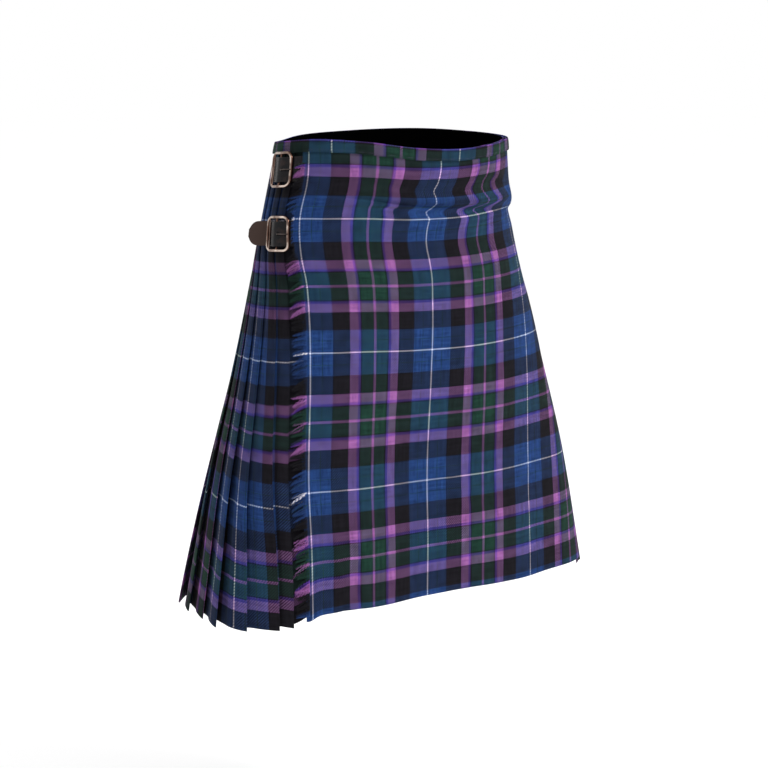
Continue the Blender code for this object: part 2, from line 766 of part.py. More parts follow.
def main():
    clear_scene()
    cloth = material("tartan", TWILL, 0.85)
    black = material("lining", LINING_BLACK, 0.8)
    leather = material("leather", LEATHER, 0.35)
    chrome = material("chrome", CHROME, 0.18, 1.0)
    make_over_apron(cloth)
    make_under_apron(cloth)
    for name, first, last in PLEAT_GROUPS:
        make_pleats(name, first, last, cloth)
    make_waistband(cloth)
    make_lining(black)
    make_fringe(cloth)
    for name, hip, depth, seat, frame_start, tip, tip_lift in FASTENINGS:
        make_tab("tab_" + name, hip, depth, seat, frame_start, leather)
        make_strap("strap_" + name, hip, depth, seat, frame_start, tip, tip_lift, leather)
        make_frame("buckle_" + name, hip, depth, seat, frame_start, chrome)
        make_prong("prong_" + name, hip, depth, seat, frame_start, chrome)


main()
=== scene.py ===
"""The looks of a pleated tartan wrap kilt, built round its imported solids, in metres with +Z up.

The wearer would face -Y, so the wearer's right is -X. The origin is the middle of the waist, at rim height.
Every piece of cloth is placed on one waist-to-hem surface: u runs round the body from the over apron's
white line towards the wearer's left, depth runs down the cloth from the rim, and out is the distance off
the surface.
"""

from math import pi, radians, sin

import bpy
import numpy as np
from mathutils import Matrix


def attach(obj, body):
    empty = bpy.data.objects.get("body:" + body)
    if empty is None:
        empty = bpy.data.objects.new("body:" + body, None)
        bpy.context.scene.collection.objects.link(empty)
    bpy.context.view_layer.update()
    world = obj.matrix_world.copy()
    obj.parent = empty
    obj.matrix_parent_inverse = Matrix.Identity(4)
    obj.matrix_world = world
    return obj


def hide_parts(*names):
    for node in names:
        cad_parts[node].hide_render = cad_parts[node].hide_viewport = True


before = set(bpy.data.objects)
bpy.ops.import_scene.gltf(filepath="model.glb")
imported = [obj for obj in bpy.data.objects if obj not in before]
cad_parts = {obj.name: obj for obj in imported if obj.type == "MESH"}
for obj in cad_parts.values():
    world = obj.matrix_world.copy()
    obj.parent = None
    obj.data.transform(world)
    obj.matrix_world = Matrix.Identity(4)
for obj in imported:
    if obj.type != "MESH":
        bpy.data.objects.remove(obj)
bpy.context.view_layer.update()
bpy.ops.object.select_all(action="DESELECT")

# The studio. The wearer's waist holds the kilt up, so its pale floor lies well below the hem. The light is
# a white surround with two broad lamps, and the camera stands off the wearer's right front at waist height.
WHITE = (1.0, 1.0, 1.0, 1.0)
FLOOR_HEIGHT = -1.10
FLOOR_SIZE = 60.0
CAMERA_AT = (-1.3765, -2.0657, 0.12)
CAMERA_TILT = radians(79.7)
CAMERA_TURN = radians(-33.43)
CAMERA_LENS = 84.375
LAMPS = (
    # name, place, size, power
    ("key_lamp", (0.85, -3.1, 2.6), 1.6, 190.0),
    ("rim_lamp", (-2.2, 2.6, 2.4), 1.6, 10.0),
)


def new_material(name):
    """A material, its node tree and its shader."""
    look = bpy.data.materials.new(name)
    look.use_nodes = True
    return look, look.node_tree, look.node_tree.nodes["Principled BSDF"]


bpy.ops.mesh.primitive_plane_add(size=FLOOR_SIZE, location=(0.0, 0.0, FLOOR_HEIGHT))
floor = bpy.context.object
floor.name = "floor"
floor_look, _, floor_shader = new_material("pale_floor")
floor_shader.inputs["Base Color"].default_value = WHITE
floor_shader.inputs["Roughness"].default_value = 1.0
floor_shader.inputs["Specular IOR Level"].default_value = 0.0
floor.data.materials.append(floor_look)

surround = bpy.data.worlds.new("surround")
surround.use_nodes = True
surround.node_tree.nodes["Background"].inputs["Color"].default_value = WHITE
surround.node_tree.nodes["Background"].inputs["Strength"].default_value = 1.0
bpy.context.scene.world = surround
bpy.context.scene.view_settings.view_transform = "Standard"

for lamp_name, place, size, power in LAMPS:
    bpy.ops.object.light_add(type="AREA", radius=size, location=place)
    lamp = bpy.context.object
    lamp.name = lamp_name
    lamp.data.size = size
    lamp.data.energy = power
    aim = -lamp.location
    lamp.rotation_euler = aim.to_track_quat("-Z", "Y").to_euler()

camera = bpy.data.objects.new("camera", bpy.data.cameras.new("camera"))
camera.location = CAMERA_AT
camera.rotation_euler = (CAMERA_TILT, 0.0, CAMERA_TURN)
camera.data.lens = CAMERA_LENS
bpy.context.scene.collection.objects.link(camera)
bpy.context.scene.camera = camera
bpy.ops.object.select_all(action="DESELECT")

# The under apron, the flat inner front. It is plain-cut wool twill, woven in a check of blue, black, pink
# and green, and it is sewn to the pleats at the wearer's right. The body's form and the cloth are defined
# here.
LENGTH = 0.610
WALL = 0.0012
GAP = 0.0003
SECTIONS = np.array([
    # depth, height, half_width, front, back, middle_x, middle_y, squareness
    (0.000, 0.0000, 0.1682, 0.1169, 0.115, 0.0006, 0.0003, 2.11),
    (0.092, -0.0912, 0.1831, 0.1038, 0.127, -0.0013, 0.0018, 2.27),
    (0.272, -0.2688, 0.2241, 0.0953, 0.150, 0.0032, -0.0052, 2.59),
    (0.452, -0.4454, 0.2668, 0.0969, 0.173, 0.0023, -0.0171, 2.92),
    (0.610, -0.6041, 0.2988, 0.0975, 0.193, -0.0048, -0.0269, 3.20),
])
LINE = np.array([
    # depth, hip_to_line
    (0.000, 0.0465),
    (0.050, 0.0522),
    (0.100, 0.0490),
    (0.145, 0.0568),
    (0.180, 0.0685),
    (0.230, 0.0795),
    (0.300, 0.0915),
    (0.450, 0.1170),
    (0.530, 0.1360),
    (0.610, 0.1530),
])
RIM = np.array([
    # way_round, rise
    (0.00, 0.010),
    (0.06, 0.014),
    (0.13, 0.011),
    (0.21, 0.002),
    (0.28, -0.001),
    (0.355, 0.003),
    (0.42, 0.008),
    (0.52, 0.013),
    (0.62, 0.018),
    (0.76, 0.016),
    (0.85, 0.012),
    (0.90, 0.007),
])
WAVES = (
    # u_at_rim, u_at_hem, start, end, half_width, height
    (0.000, 0.020, 0.30, 0.75, 0.030, -0.0030),
    (0.060, 0.075, 0.34, 0.75, 0.034, 0.0035),
    (0.150, 0.170, 0.30, 0.75, 0.045, -0.0030),
    (0.250, 0.290, 0.26, 0.75, 0.050, 0.0035),
    (0.330, 0.400, 0.30, 0.75, 0.040, -0.0030),
)
NIP_AT_MIDDLE = 0.074
NIP_AT_SIDE = 0.098
NIP_SLOPES = (0.20, 0.34)
NIP_BAND = 0.016
NIP_OUT = 0.0028
NIP_FADES_IN = (0.10, 0.22)
WAVES_FADE_IN = (-0.03, 0.0)
WAVES_FADE_OUT = (0.012, 0.060)
PLAN_POINTS = 720
PLACING_STEP = 0.002
CREASES = (
    # start_u, start_depth, end_u, end_depth, half_width, height
    (0.045, 0.0600, 0.270, 0.0680, 0.0070, 0.0032),
    (0.030, 0.0710, 0.275, 0.0815, 0.0028, -0.0042),
    (0.215, 0.0660, 0.370, 0.0850, 0.0080, 0.0024),
    (0.215, 0.0800, 0.400, 0.1020, 0.0040, -0.0034),
    (0.230, 0.0400, 0.330, 0.0560, 0.0050, -0.0018),
    (0.110, 0.0870, 0.290, 0.0960, 0.0070, 0.0013),
    (0.180, 0.0480, 0.340, 0.0520, 0.0060, -0.0012),
    (0.004, 0.103, 0.085, 0.090, 0.0060, 0.0014),
    (0.006, 0.124, 0.100, 0.140, 0.0070, -0.0016),
    (0.010, 0.137, 0.080, 0.170, 0.0060, 0.0012),
    (0.060, 0.050, 0.130, 0.062, 0.0070, -0.0010),
    (0.020, 0.235, 0.060, 0.300, 0.0090, 0.0010),
    (0.110, 0.330, 0.150, 0.420, 0.0110, -0.0012),
    (0.205, 0.430, 0.255, 0.520, 0.0080, 0.0013),
    (0.225, 0.475, 0.300, 0.505, 0.0060, -0.0010),
    (0.300, 0.300, 0.320, 0.400, 0.0120, 0.0012),
    (0.030, 0.500, 0.045, 0.600, 0.0090, 0.0022),
    (0.060, 0.540, 0.066, 0.610, 0.0080, -0.0018),
    (0.130, 0.560, 0.150, 0.610, 0.0100, 0.0014),
    (0.350, 0.450, 0.380, 0.600, 0.0120, -0.0015),
    (0.400, 0.180, 0.410, 0.330, 0.0100, 0.0012),
    (-0.180, 0.330, -0.185, 0.560, 0.0200, 0.0012),
    (-0.360, 0.300, -0.390, 0.580, 0.0260, -0.0014),
    (-0.560, 0.280, -0.640, 0.600, 0.0220, 0.0013),
)
APRON_EDGE = -0.009
APRON_AT_WAIST = 0.411
APRON_AT_HEM = 0.491
APRON_END_CURVE = 1.3
LOW_IN = -0.0042
SETT = 0.18
FIRST_WHITE_WEFT = 0.092
THREAD = 0.0009
UPPER_YARN_SHARE = 0.82
SLUBS_ACROSS = 270.0
SLUBS_ALONG = 34.0
SLUB_SHADES = (-0.05, 1.0)
YARN_SHADES = (0.82, 1.18)
FUZZ_HEIGHT = 0.8
STRIPES = (
    # yarns from the white line's middle, colour name
    (1, "white"),
    (16, "blue"),
    (1, "green"),
    (15, "blue"),
    (27, "black"),
    (13, "pink"),
    (4, "violet"),
    (2, "black"),
    (19, "green"),
    (2, "pink"),
)
WOOL = {
    "white": (0.58, 0.56, 0.62),
    "blue": (0.0086, 0.0258, 0.0925),
    "green": (0.0060, 0.0215, 0.0150),
    "black": (0.0044, 0.0040, 0.0056),
    "pink": (0.1760, 0.0625, 0.1860),
    "violet": (0.0520, 0.0190, 0.1650),
}
APRON_COLUMNS = 160
UNDER_SHARE = 0.9
FINE_ROWS = 116
FINE_ROWS_END = 0.16
COARSE_ROWS = 100
CREASE_FADE = 0.3
NIP_TROUGH = 0.7
SHARP_FOLD = radians(60)


def smooth(low, high, value):
    """0 below low, 1 above high and a soft step between, for low over high too."""
    share = np.clip((value - low) / (high - low), 0.0, 1.0)
    return share * share * (3.0 - 2.0 * share)


def curve_through(table, column, at):
    """A smooth curve through one column of a table, whose first column is where each row lies."""
    xs, ys = table[:, 0], table[:, column]
    slopes = np.gradient(ys, xs)
    at = np.clip(at, xs[0], xs[-1])
    row = np.clip(np.searchsorted(xs, at) - 1, 0, len(xs) - 2)
    span = xs[row + 1] - xs[row]
    t = (at - xs[row]) / span
    return (
        ys[row] * (1 + 2 * t) * (1 - t) ** 2
        + slopes[row] * span * t * (1 - t) ** 2
        + ys[row + 1] * t * t * (3 - 2 * t)
        + slopes[row + 1] * span * t * t * (t - 1)
    )


plans = {}


def plan(depth):
    """The plan curve at one depth: its arc length from the wearer's right, its points and its normals."""
    key = round(float(depth), 5)
    if key not in plans:
        inside = np.clip(depth, 0.0, LENGTH)
        half_width, front, back, middle_x, middle_y, power = (
            curve_through(SECTIONS, column, inside) for column in range(2, 8)
        )
        turn = np.linspace(-pi, pi, 2 * PLAN_POINTS + 1)
        across, along = np.cos(turn), np.sin(turn)
        x = middle_x + half_width * np.sign(across) * np.abs(across) ** (2 / power)
        reach = np.where(along < 0, front, back)
        y = middle_y + reach * np.sign(along) * np.abs(along) ** (2 / power)
        arc = np.concatenate([[0.0], np.cumsum(np.hypot(np.diff(x), np.diff(y)))])
        even = np.linspace(0.0, arc[-1], PLAN_POINTS + 1)
        x, y = np.interp(even, arc, x), np.interp(even, arc, y)
        dx = np.gradient(np.concatenate([x[-4:-1], x, x[1:4]]))[3:-3]
        dy = np.gradient(np.concatenate([y[-4:-1], y, y[1:4]]))[3:-3]
        size = np.hypot(dx, dy)
        hip = curve_through(LINE, 1, inside)
        plans[key] = {"arc": even, "x": x, "y": y, "nx": dy / size, "ny": -dx / size, "hip": hip}
    return plans[key]


def round_length(depth):
    return plan(depth)["arc"][-1]


def apron_end(depth):
    """Where the over apron meets the pleats on the wearer's left."""
    share = np.maximum(depth, 0.0) / LENGTH
    return APRON_AT_WAIST + (APRON_AT_HEM - APRON_AT_WAIST) * share**APRON_END_CURVE


def wave(u, depth):
    """The aprons' large waves: soft vertical ones towards the hem and one nip across under the waist."""
    total = np.zeros_like(u)
    share = depth / LENGTH
    for at_rim, at_hem, start, end, half_width, height in WAVES:
        middle = at_rim + (at_hem - at_rim) * share
        total += height * smooth(start, end, share) * np.exp(-(((u - middle) / half_width) ** 2))
    below_nip = depth - NIP_AT_MIDDLE - (NIP_AT_SIDE - NIP_AT_MIDDLE) * smooth(*NIP_SLOPES, u)
    nip = np.exp(-(((below_nip + NIP_BAND) / NIP_BAND) ** 2))
    nip -= np.exp(-(((below_nip - (1.0 - NIP_TROUGH) * NIP_BAND) / (NIP_TROUGH * NIP_BAND)) ** 2))
    total += NIP_OUT * nip * smooth(*NIP_FADES_IN, u)
    before_end = apron_end(depth) - u
    return total * smooth(*WAVES_FADE_IN, u) * smooth(*WAVES_FADE_OUT, before_end)


def creases(u, depth):
    """The small creases: each a soft ridge or trough along a short line, which fades at both ends."""
    total = np.zeros_like(u)
    for start_u, start_depth, end_u, end_depth, half_width, height in CREASES:
        run_u, run_depth = end_u - start_u, end_depth - start_depth
        length = np.hypot(run_u, run_depth)
        share = ((u - start_u) * run_u + (depth - start_depth) * run_depth) / length**2
        nearest = np.clip(share, 0.0, 1.0)
        away = np.hypot(u - start_u - nearest * run_u, depth - start_depth - nearest * run_depth)
        fade = smooth(0.0, CREASE_FADE, nearest) * smooth(1.0, 1.0 - CREASE_FADE, nearest)
        total += height * fade * np.exp(-((away / half_width) ** 2))
    return total


def surface(u, depth, out, drop=0.0):
    """Points at distances u round the body, at one depth and at offsets out, as rows of x, y, z."""
    u, out, drop = np.broadcast_arrays(np.atleast_1d(u).astype(float), out, drop)
    ring = plan(depth)
    arc = np.mod(ring["hip"] + u, ring["arc"][-1])
    x, y, nx, ny = (np.interp(arc, ring["arc"], ring[name]) for name in ("x", "y", "nx", "ny"))
    away = out + wave(u, depth) + creases(u, depth)
    way = arc / ring["arc"][-1]
    wrapped = np.vstack([RIM, (1.0 + RIM[0, 0], RIM[0, 1]), (1.0 + RIM[1, 0], RIM[1, 1])])
    rise = curve_through(wrapped, 1, way) * (1.0 - max(depth, 0.0) / LENGTH)
    height = curve_through(SECTIONS, 1, depth) - min(depth, 0.0)
    return np.stack([x + nx * away, y + ny * away, height + rise - drop], axis=-1)


def placed(u, depth, out):
    """Points that each have a depth of their own, blended from the surface just above and below them."""
    points = np.empty(u.shape + (3,))
    level = np.floor(depth / PLACING_STEP)
    for number in np.unique(level):
        here = level == number
        share = (depth[here] / PLACING_STEP - number)[:, None]
        top, bottom = (surface(u[here], PLACING_STEP * (number + step), out[here]) for step in (0, 1))
        points[here] = (1.0 - share) * top + share * bottom
    return points


def lay_cut(mesh, cut):
    """Writes each vertex's place on the cut cloth, in metres, to the UV map that the weave reads."""
    corners = np.empty(len(mesh.loops), np.int32)
    mesh.loops.foreach_get("vertex_index", corners)
    layer = mesh.uv_layers.new(name="cut")
    layer.data.foreach_set("uv", cut[corners].astype(np.float32).ravel())


def piece_of(name, points, faces, look):
    """A smooth piece of one material, made from points and faces. It rides on the kilt's one body."""
    mesh = bpy.data.meshes.new(name)
    mesh.from_pydata(points.tolist(), [], faces)
    mesh.materials.append(look)
    mesh.shade_smooth()
    made = bpy.data.objects.new(name, mesh)
    bpy.context.scene.collection.objects.link(made)
    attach(made, "root")
    return made


def cloth_wall(name, outer, inner, cut, look):
    """A thin closed shell between two grids of points, with each point's place on the cut cloth."""
    outer, inner, cut = np.array(outer), np.array(inner), np.array(cut)
    rows, columns = outer.shape[:2]
    face, back = np.arange(2 * rows * columns).reshape(2, rows, columns)
    quads = [
        (face[:-1, :-1], face[1:, :-1], face[1:, 1:], face[:-1, 1:]),
        (back[:-1, :-1], back[:-1, 1:], back[1:, 1:], back[1:, :-1]),
        (face[0, :-1], face[0, 1:], back[0, 1:], back[0, :-1]),
        (face[-1, :-1], back[-1, :-1], back[-1, 1:], face[-1, 1:]),
        (face[:-1, 0], back[:-1, 0], back[1:, 0], face[1:, 0]),
        (face[:-1, -1], face[1:, -1], back[1:, -1], back[:-1, -1]),
    ]
    faces = np.concatenate([np.stack(quad, axis=-1).reshape(-1, 4) for quad in quads])
    points = np.concatenate([outer.reshape(-1, 3), inner.reshape(-1, 3)])
    made = piece_of(name, points, faces.tolist(), look)
    lay_cut(made.data, np.concatenate([cut.reshape(-1, 2)] * 2))
    made.data.set_sharp_from_angle(angle=SHARP_FOLD)
    return made


def wired(tree, kind, inputs, **settings):
    """Adds a shader node, sets its properties and sets or links its inputs. Returns its outputs."""
    made = tree.nodes.new(kind)
    for setting, value in settings.items():
        setattr(made, setting, value)
    for socket, value in inputs.items():
        if isinstance(value, bpy.types.NodeSocket):
            tree.links.new(value, made.inputs[socket])
        else:
            made.inputs[socket].default_value = value
    return made.outputs


def calc(tree, operation, *values):
    return wired(tree, "ShaderNodeMath", dict(enumerate(values)), operation=operation)[0]


def between(tree, value, low, high):
    """Stretches a value of 0 to 1 to the range from low to high."""
    return calc(tree, "MULTIPLY_ADD", value, high - low, low)


def mixed(tree, share, first, second):
    """Blends from the first colour to the second."""
    sockets = {0: share, 6: first, 7: second}
    return wired(tree, "ShaderNodeMix", sockets, data_type="RGBA")[2]


def scaled(tree, colour, share):
    return wired(tree, "ShaderNodeVectorMath", {0: colour, 3: share}, operation="SCALE")[0]


def noise(tree, scale, detail, roughness=0.5, at=None):
    """Noise in the space of the finished kilt, or at a place that is given."""
    if at is None:
        at = wired(tree, "ShaderNodeTexCoord", {})[3]
    inputs = {"Vector": at, "Scale": scale, "Detail": detail, "Roughness": roughness}
    return wired(tree, "ShaderNodeTexNoise", inputs)[0]


def cut_map(tree):
    return wired(tree, "ShaderNodeUVMap", {}, uv_map="cut")[0]


def place_on_map(tree):
    """The two parts of a point's place on the cut."""
    return wired(tree, "ShaderNodeSeparateXYZ", {0: cut_map(tree)})[:2]


def dress(tree, shader, colour, roughness, height=None, strength=0.0, distance=0.0):
    """Links a shader's colour and roughness, and its bump where a height is given."""
    tree.links.new(colour, shader.inputs["Base Color"])
    tree.links.new(roughness, shader.inputs["Roughness"])
    if height is not None:
        sockets = {"Strength": strength, "Distance": distance, "Height": height}
        tree.links.new(wired(tree, "ShaderNodeBump", sockets)[0], shader.inputs["Normal"])


def yarn_colour(tree, along):
    """The colour of the yarn at a distance along the sett, which mirrors at its white and its pink line."""
    place = calc(tree, "DIVIDE", calc(tree, "PINGPONG", along, 0.5 * SETT), 0.5 * SETT)
    ramp = tree.nodes.new("ShaderNodeValToRGB")
    bands = ramp.color_ramp
    bands.interpolation = "CONSTANT"
    start = 0.0
    for index, (yarns, colour) in enumerate(STRIPES):
        stop = bands.elements[0] if index == 0 else bands.elements.new(start)
        stop.color = (*WOOL[colour], 1.0)
        start += yarns * THREAD / (0.5 * SETT)
    bands.elements.remove(bands.elements[-1])
    tree.links.new(place, ramp.inputs[0])
    return ramp.outputs[0]


def tartan_material(name):
    """Wool twill. Each warp or weft yarn has one colour, and two go over two, one further each row."""
    look, tree, shader = new_material(name)
    yarns = []
    tones = []
    rounds = []
    for place in place_on_map(tree):
        run = calc(tree, "DIVIDE", place, THREAD)
        number = calc(tree, "FLOOR", run)
        middle = calc(tree, "MULTIPLY", calc(tree, "ADD", number, 0.5), THREAD)
        shade = wired(tree, "ShaderNodeTexWhiteNoise", {1: number}, noise_dimensions="1D")[0]
        tones.append(scaled(tree, yarn_colour(tree, middle), between(tree, shade, *YARN_SHADES)))
        off = between(tree, calc(tree, "FRACT", run), -1.0, 1.0)
        rounds.append(calc(tree, "SUBTRACT", 1.0, calc(tree, "MULTIPLY", off, off)))
        yarns.append(number)
    diagonal = calc(tree, "FLOORED_MODULO", calc(tree, "ADD", *yarns), 4.0)
    warp_over = calc(tree, "LESS_THAN", diagonal, 1.5)
    over = mixed(tree, warp_over, tones[1], tones[0])
    under = mixed(tree, warp_over, tones[0], tones[1])
    shares = zip((over, under), (UPPER_YARN_SHARE, 1.0 - UPPER_YARN_SHARE))
    seen = [wired(tree, "ShaderNodeGamma", {0: colour, 1: share})[0] for colour, share in shares]
    woven = wired(tree, "ShaderNodeVectorMath", {0: seen[0], 1: seen[1]}, operation="MULTIPLY")[0]
    fuzz = noise(tree, 420.0, 3.0, roughness=0.65)
    wear = noise(tree, 14.0, 4.0, roughness=0.6)
    slubs = []
    for stretch in ((SLUBS_ACROSS, SLUBS_ALONG, 1.0), (SLUBS_ALONG, SLUBS_ACROSS, 1.0)):
        spun = wired(tree, "ShaderNodeVectorMath", {0: cut_map(tree), 1: stretch}, operation="MULTIPLY")[0]
        slubs.append(noise(tree, 1.0, 2.0, at=spun))
    slub = between(tree, calc(tree, "ADD", *slubs), *SLUB_SHADES)
    lightness = calc(tree, "MULTIPLY", between(tree, fuzz, 0.75, 1.25), between(tree, wear, 0.88, 1.12))
    coloured = scaled(tree, woven, calc(tree, "MULTIPLY", lightness, slub))
    height = wired(tree, "ShaderNodeMix", {0: warp_over, 2: rounds[1], 3: rounds[0]}, data_type="FLOAT")[0]
    height = calc(tree, "ADD", height, calc(tree, "MULTIPLY", fuzz, FUZZ_HEIGHT))
    dress(tree, shader, coloured, between(tree, fuzz, 0.78, 0.94), height, strength=0.35, distance=0.0002)
    shader.inputs["Specular IOR Level"].default_value = 0.05
    shader.inputs["Sheen Weight"].default_value = 0.02
    shader.inputs["Sheen Roughness"].default_value = 0.45
    return look


def depths_between(top, bottom, rows):
    return np.linspace(top, bottom, rows + 1)


def under_apron_end(depth):
    return APRON_EDGE + (apron_end(depth) - APRON_EDGE) * UNDER_SHARE


wool = tartan_material("wool_twill")
fine_depths = depths_between(0.0, FINE_ROWS_END, FINE_ROWS)
depths = np.concatenate([fine_depths[:-1], depths_between(FINE_ROWS_END, LENGTH, COARSE_ROWS)])
outer, inner, cut = [], [], []
for depth in depths:
    u = np.linspace(GAP, under_apron_end(depth), APRON_COLUMNS // 2 + 1)
    outer.append(surface(u, depth, LOW_IN + WALL))
    inner.append(surface(u, depth, LOW_IN))
    cut.append(np.stack([u + 0.5 * SETT, np.full_like(u, depth - FIRST_WHITE_WEFT)], axis=-1))
under_apron = cloth_wall("under_apron_cloth", outer, inner, cut, wool)
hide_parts("under_apron")

# The pleats, the back of the kilt: one length of the twill folded into knife pleats that all turn the same
# way. They are pressed sharp, sewn flat down to the hips and free below, where each opens a little.
MID_IN = LOW_IN + WALL + GAP
TOP_IN = MID_IN + WALL + GAP
PLEATS = 26
FIRST_FOLD = 0.027
FIRST_REVEAL = 0.020
FIRST_COLUMNS = 4
FIRST_OPENING = 0.45
FELL = 0.17
PLEAT_GROUPS = (("pleats_right", 0, 8), ("pleats_back", 8, 17), ("pleats_left", 17, PLEATS))
FOLDED_UNDER = 0.50
FOLDED_MORE_AT_HEM = 0.12
FACE_FLAT = 0.0015
FACE_LEAD = 0.11
LIFT_OF_INNER = 0.10
LIFT_OF_MIDDLE = 0.50
LIFT_OF_NEXT = 0.25
HEM_OPENING = 0.0095
HEM_UNEVEN = 0.25
HEM_UNEVEN_TURN = 2.4
HEM_UNEVEN_START = 0.6
HEM_DROP = 0.009
FOLD_DROP = 0.003
SEAM_LAP = 0.010
SEAM_PLAY = 0.0006
PLEAT_ROWS = 90
FOLD_ROUNDINGS = 2
FOLD_TURN = 0.003
FIRST_WHITE_LINES = (0.0480, 0.043, 0.0175, 0.0185, 0.088)
STEP_OF_LINES = 0.018
BESIDE_FRINGE_CUT = -0.024
PLEATS_WEFT_DROP = 0.010


def pleat_places(depth):
    """Distance back from the white line of every fold edge, and of the over apron's left edge last."""
    end = round_length(depth) - apron_end(depth)
    return np.concatenate([[FIRST_FOLD], np.linspace(FIRST_FOLD + FIRST_REVEAL, end, PLEATS)])


def white_line_of(k):
    """How far back from a pleat's fold its white line lies. Past the first few, the sett runs on."""
    if k < len(FIRST_WHITE_LINES):
        return FIRST_WHITE_LINES[k]
    return FIRST_WHITE_LINES[-1] + STEP_OF_LINES * (k + 1 - len(FIRST_WHITE_LINES))


def pleat_wall(first, last, depth):
    """Both sides of some pleats at one depth: rows of distance back, offset, drop and place on the cut."""
    fold = pleat_places(depth)
    share = depth / LENGTH
    reveals = np.append(np.diff(fold), fold[-1] - fold[-2])
    hidden = reveals * (FOLDED_UNDER + FOLDED_MORE_AT_HEM * share)
    open_share = smooth(FELL, LENGTH, depth)
    low, mid, top = LOW_IN, MID_IN, TOP_IN
    drop = HEM_DROP * share**2

    def lift_of(k):
        under_fringe = FIRST_OPENING if k == 0 else 1.0
        uneven = 1.0 + HEM_UNEVEN * sin(HEM_UNEVEN_TURN * k + HEM_UNEVEN_START)
        return under_fringe * HEM_OPENING * open_share * uneven

    def seam(k):
        return 0.0 if k == 0 else fold[k] + 0.5 * hidden[k]

    def place_on_cut(k, back_from_fold):
        return white_line_of(k) - back_from_fold

    starts = np.linspace(0.0, FIRST_FOLD, FIRST_COLUMNS) if first == 0 else [seam(first)]
    drops = [drop * smooth(0.0, FIRST_FOLD, start) for start in starts]
    before = fold[first - 1] if first else 0.0
    ahead = white_line_of(first - 1) if first else BESIDE_FRINGE_CUT
    face, back = (
        [(start, out, start_drop, ahead - start + before) for start, start_drop in zip(starts, drops)]
        for out in (low + WALL, low)
    )
    for k in range(first, last):
        lift = lift_of(k)
        fold_drop = drop + FOLD_DROP * open_share
        inner_fold = fold[k] + hidden[k]
        flat = hidden[k] + FACE_FLAT
        lead = FACE_LEAD * reveals[k]
        low_lift = LIFT_OF_NEXT * lift if k + 1 < PLEATS else 0.0
        next_low = low if k + 1 < PLEATS else mid - SEAM_PLAY
        before_cut = face[-1][3] - (inner_fold - face[-1][0])
        cuts = [
            before_cut,
            before_cut - FOLD_TURN,
            place_on_cut(k, -FOLD_TURN),
            place_on_cut(k, 0.0),
            place_on_cut(k, flat),
            place_on_cut(k, fold[k + 1] - lead - fold[k]),
        ]
        face += [
            (inner_fold - WALL, low + WALL, drop, cuts[0]),
            (inner_fold - WALL, mid + LIFT_OF_INNER * lift, drop, cuts[1]),
            (fold[k], mid + lift, fold_drop, cuts[2]),
            (fold[k], top + WALL + lift, fold_drop, cuts[3]),
            (fold[k] + flat, top + WALL + LIFT_OF_MIDDLE * lift, drop, cuts[4]),
            (fold[k + 1] - lead, next_low + WALL + low_lift, drop, cuts[5]),
        ]
        back += [
            (inner_fold, low, drop, cuts[0]),
            (inner_fold, mid + WALL + LIFT_OF_INNER * lift, drop, cuts[1]),
            (fold[k] + WALL, mid + WALL + lift, fold_drop, cuts[2]),
            (fold[k] + WALL, top + lift, fold_drop, cuts[3]),
            (fold[k] + flat, top + LIFT_OF_MIDDLE * lift, drop, cuts[4]),
            (fold[k + 1] - lead, next_low + low_lift, drop, cuts[5]),
        ]
    stop = fold[PLEATS] + SEAM_LAP if last == PLEATS else seam(last) - GAP
    low_end = mid - SEAM_PLAY if last == PLEATS else low
    last_cut = face[-1][3] - (stop - face[-1][0])
    face.append((stop, low_end + WALL, drop, last_cut))
    back.append((stop, low_end, drop, last_cut))
    return np.array(face), np.array(back)


def rounded(points, times):
    """Cuts the corners of a run of points, so that folds turn softly. The two ends stay."""
    for _ in range(times):
        before, after = points[:-1], points[1:]
        cut_points = np.stack([0.75 * before + 0.25 * after, 0.25 * before + 0.75 * after], axis=1)
        points = np.concatenate([points[:1], cut_points.reshape(-1, points.shape[1]), points[-1:]])
    return points


def length_along(wall):
    return np.hypot(np.diff(wall[:, 0]), np.diff(wall[:, 1])).sum()


for node, first, last in PLEAT_GROUPS:
    outer, inner, cut = [], [], []
    for depth in depths_between(0.0, LENGTH, PLEAT_ROWS):
        for grid, side in zip((outer, inner), pleat_wall(first, last, depth)):
            side = rounded(side, FOLD_ROUNDINGS)[::-1]
            grid.append(surface(-side[:, 0], depth, side[:, 1], side[:, 2]))
        weft = np.full(len(side), depth - FIRST_WHITE_WEFT - PLEATS_WEFT_DROP)
        cut.append(np.stack([side[:, 3], weft], axis=-1))
    pleats = cloth_wall(node + "_cloth", outer, inner, cut, wool)
    at_waist, at_hem = (length_along(pleat_wall(first, last, depth)[0]) for depth in (0.0, LENGTH))
    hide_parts(node)

# The lining, a band of thin black cotton sewn inside the waist, where it shows through the open top.
# It is cut straight and turned in at its lower edge, and it follows the cloth in front of it.
LINING_IN = -0.0061
LINING_WALL = 0.0010
LINING_JOIN = 0.001
LINING_TOP = 0.002
LINING_BOTTOM = 0.095
LINING_COLUMNS = 300
LINING_ROWS = 24
LINING_TURN = 0.012
LINING_TURNED_IN = 0.0004
LINING_PUCKER = 0.0003
LINING_PUCKERS = (0.021, 0.067)
LINING_COLOUR = (0.0005, 0.0005, 0.0006)
COTTON_THREAD = 0.0003


def round_inside(depth):
    """Places right round the inside of the waist, from the under apron's end and back to it."""
    end = under_apron_end(depth)
    return np.linspace(end - round_length(depth) + LINING_JOIN, end, LINING_COLUMNS + 1)


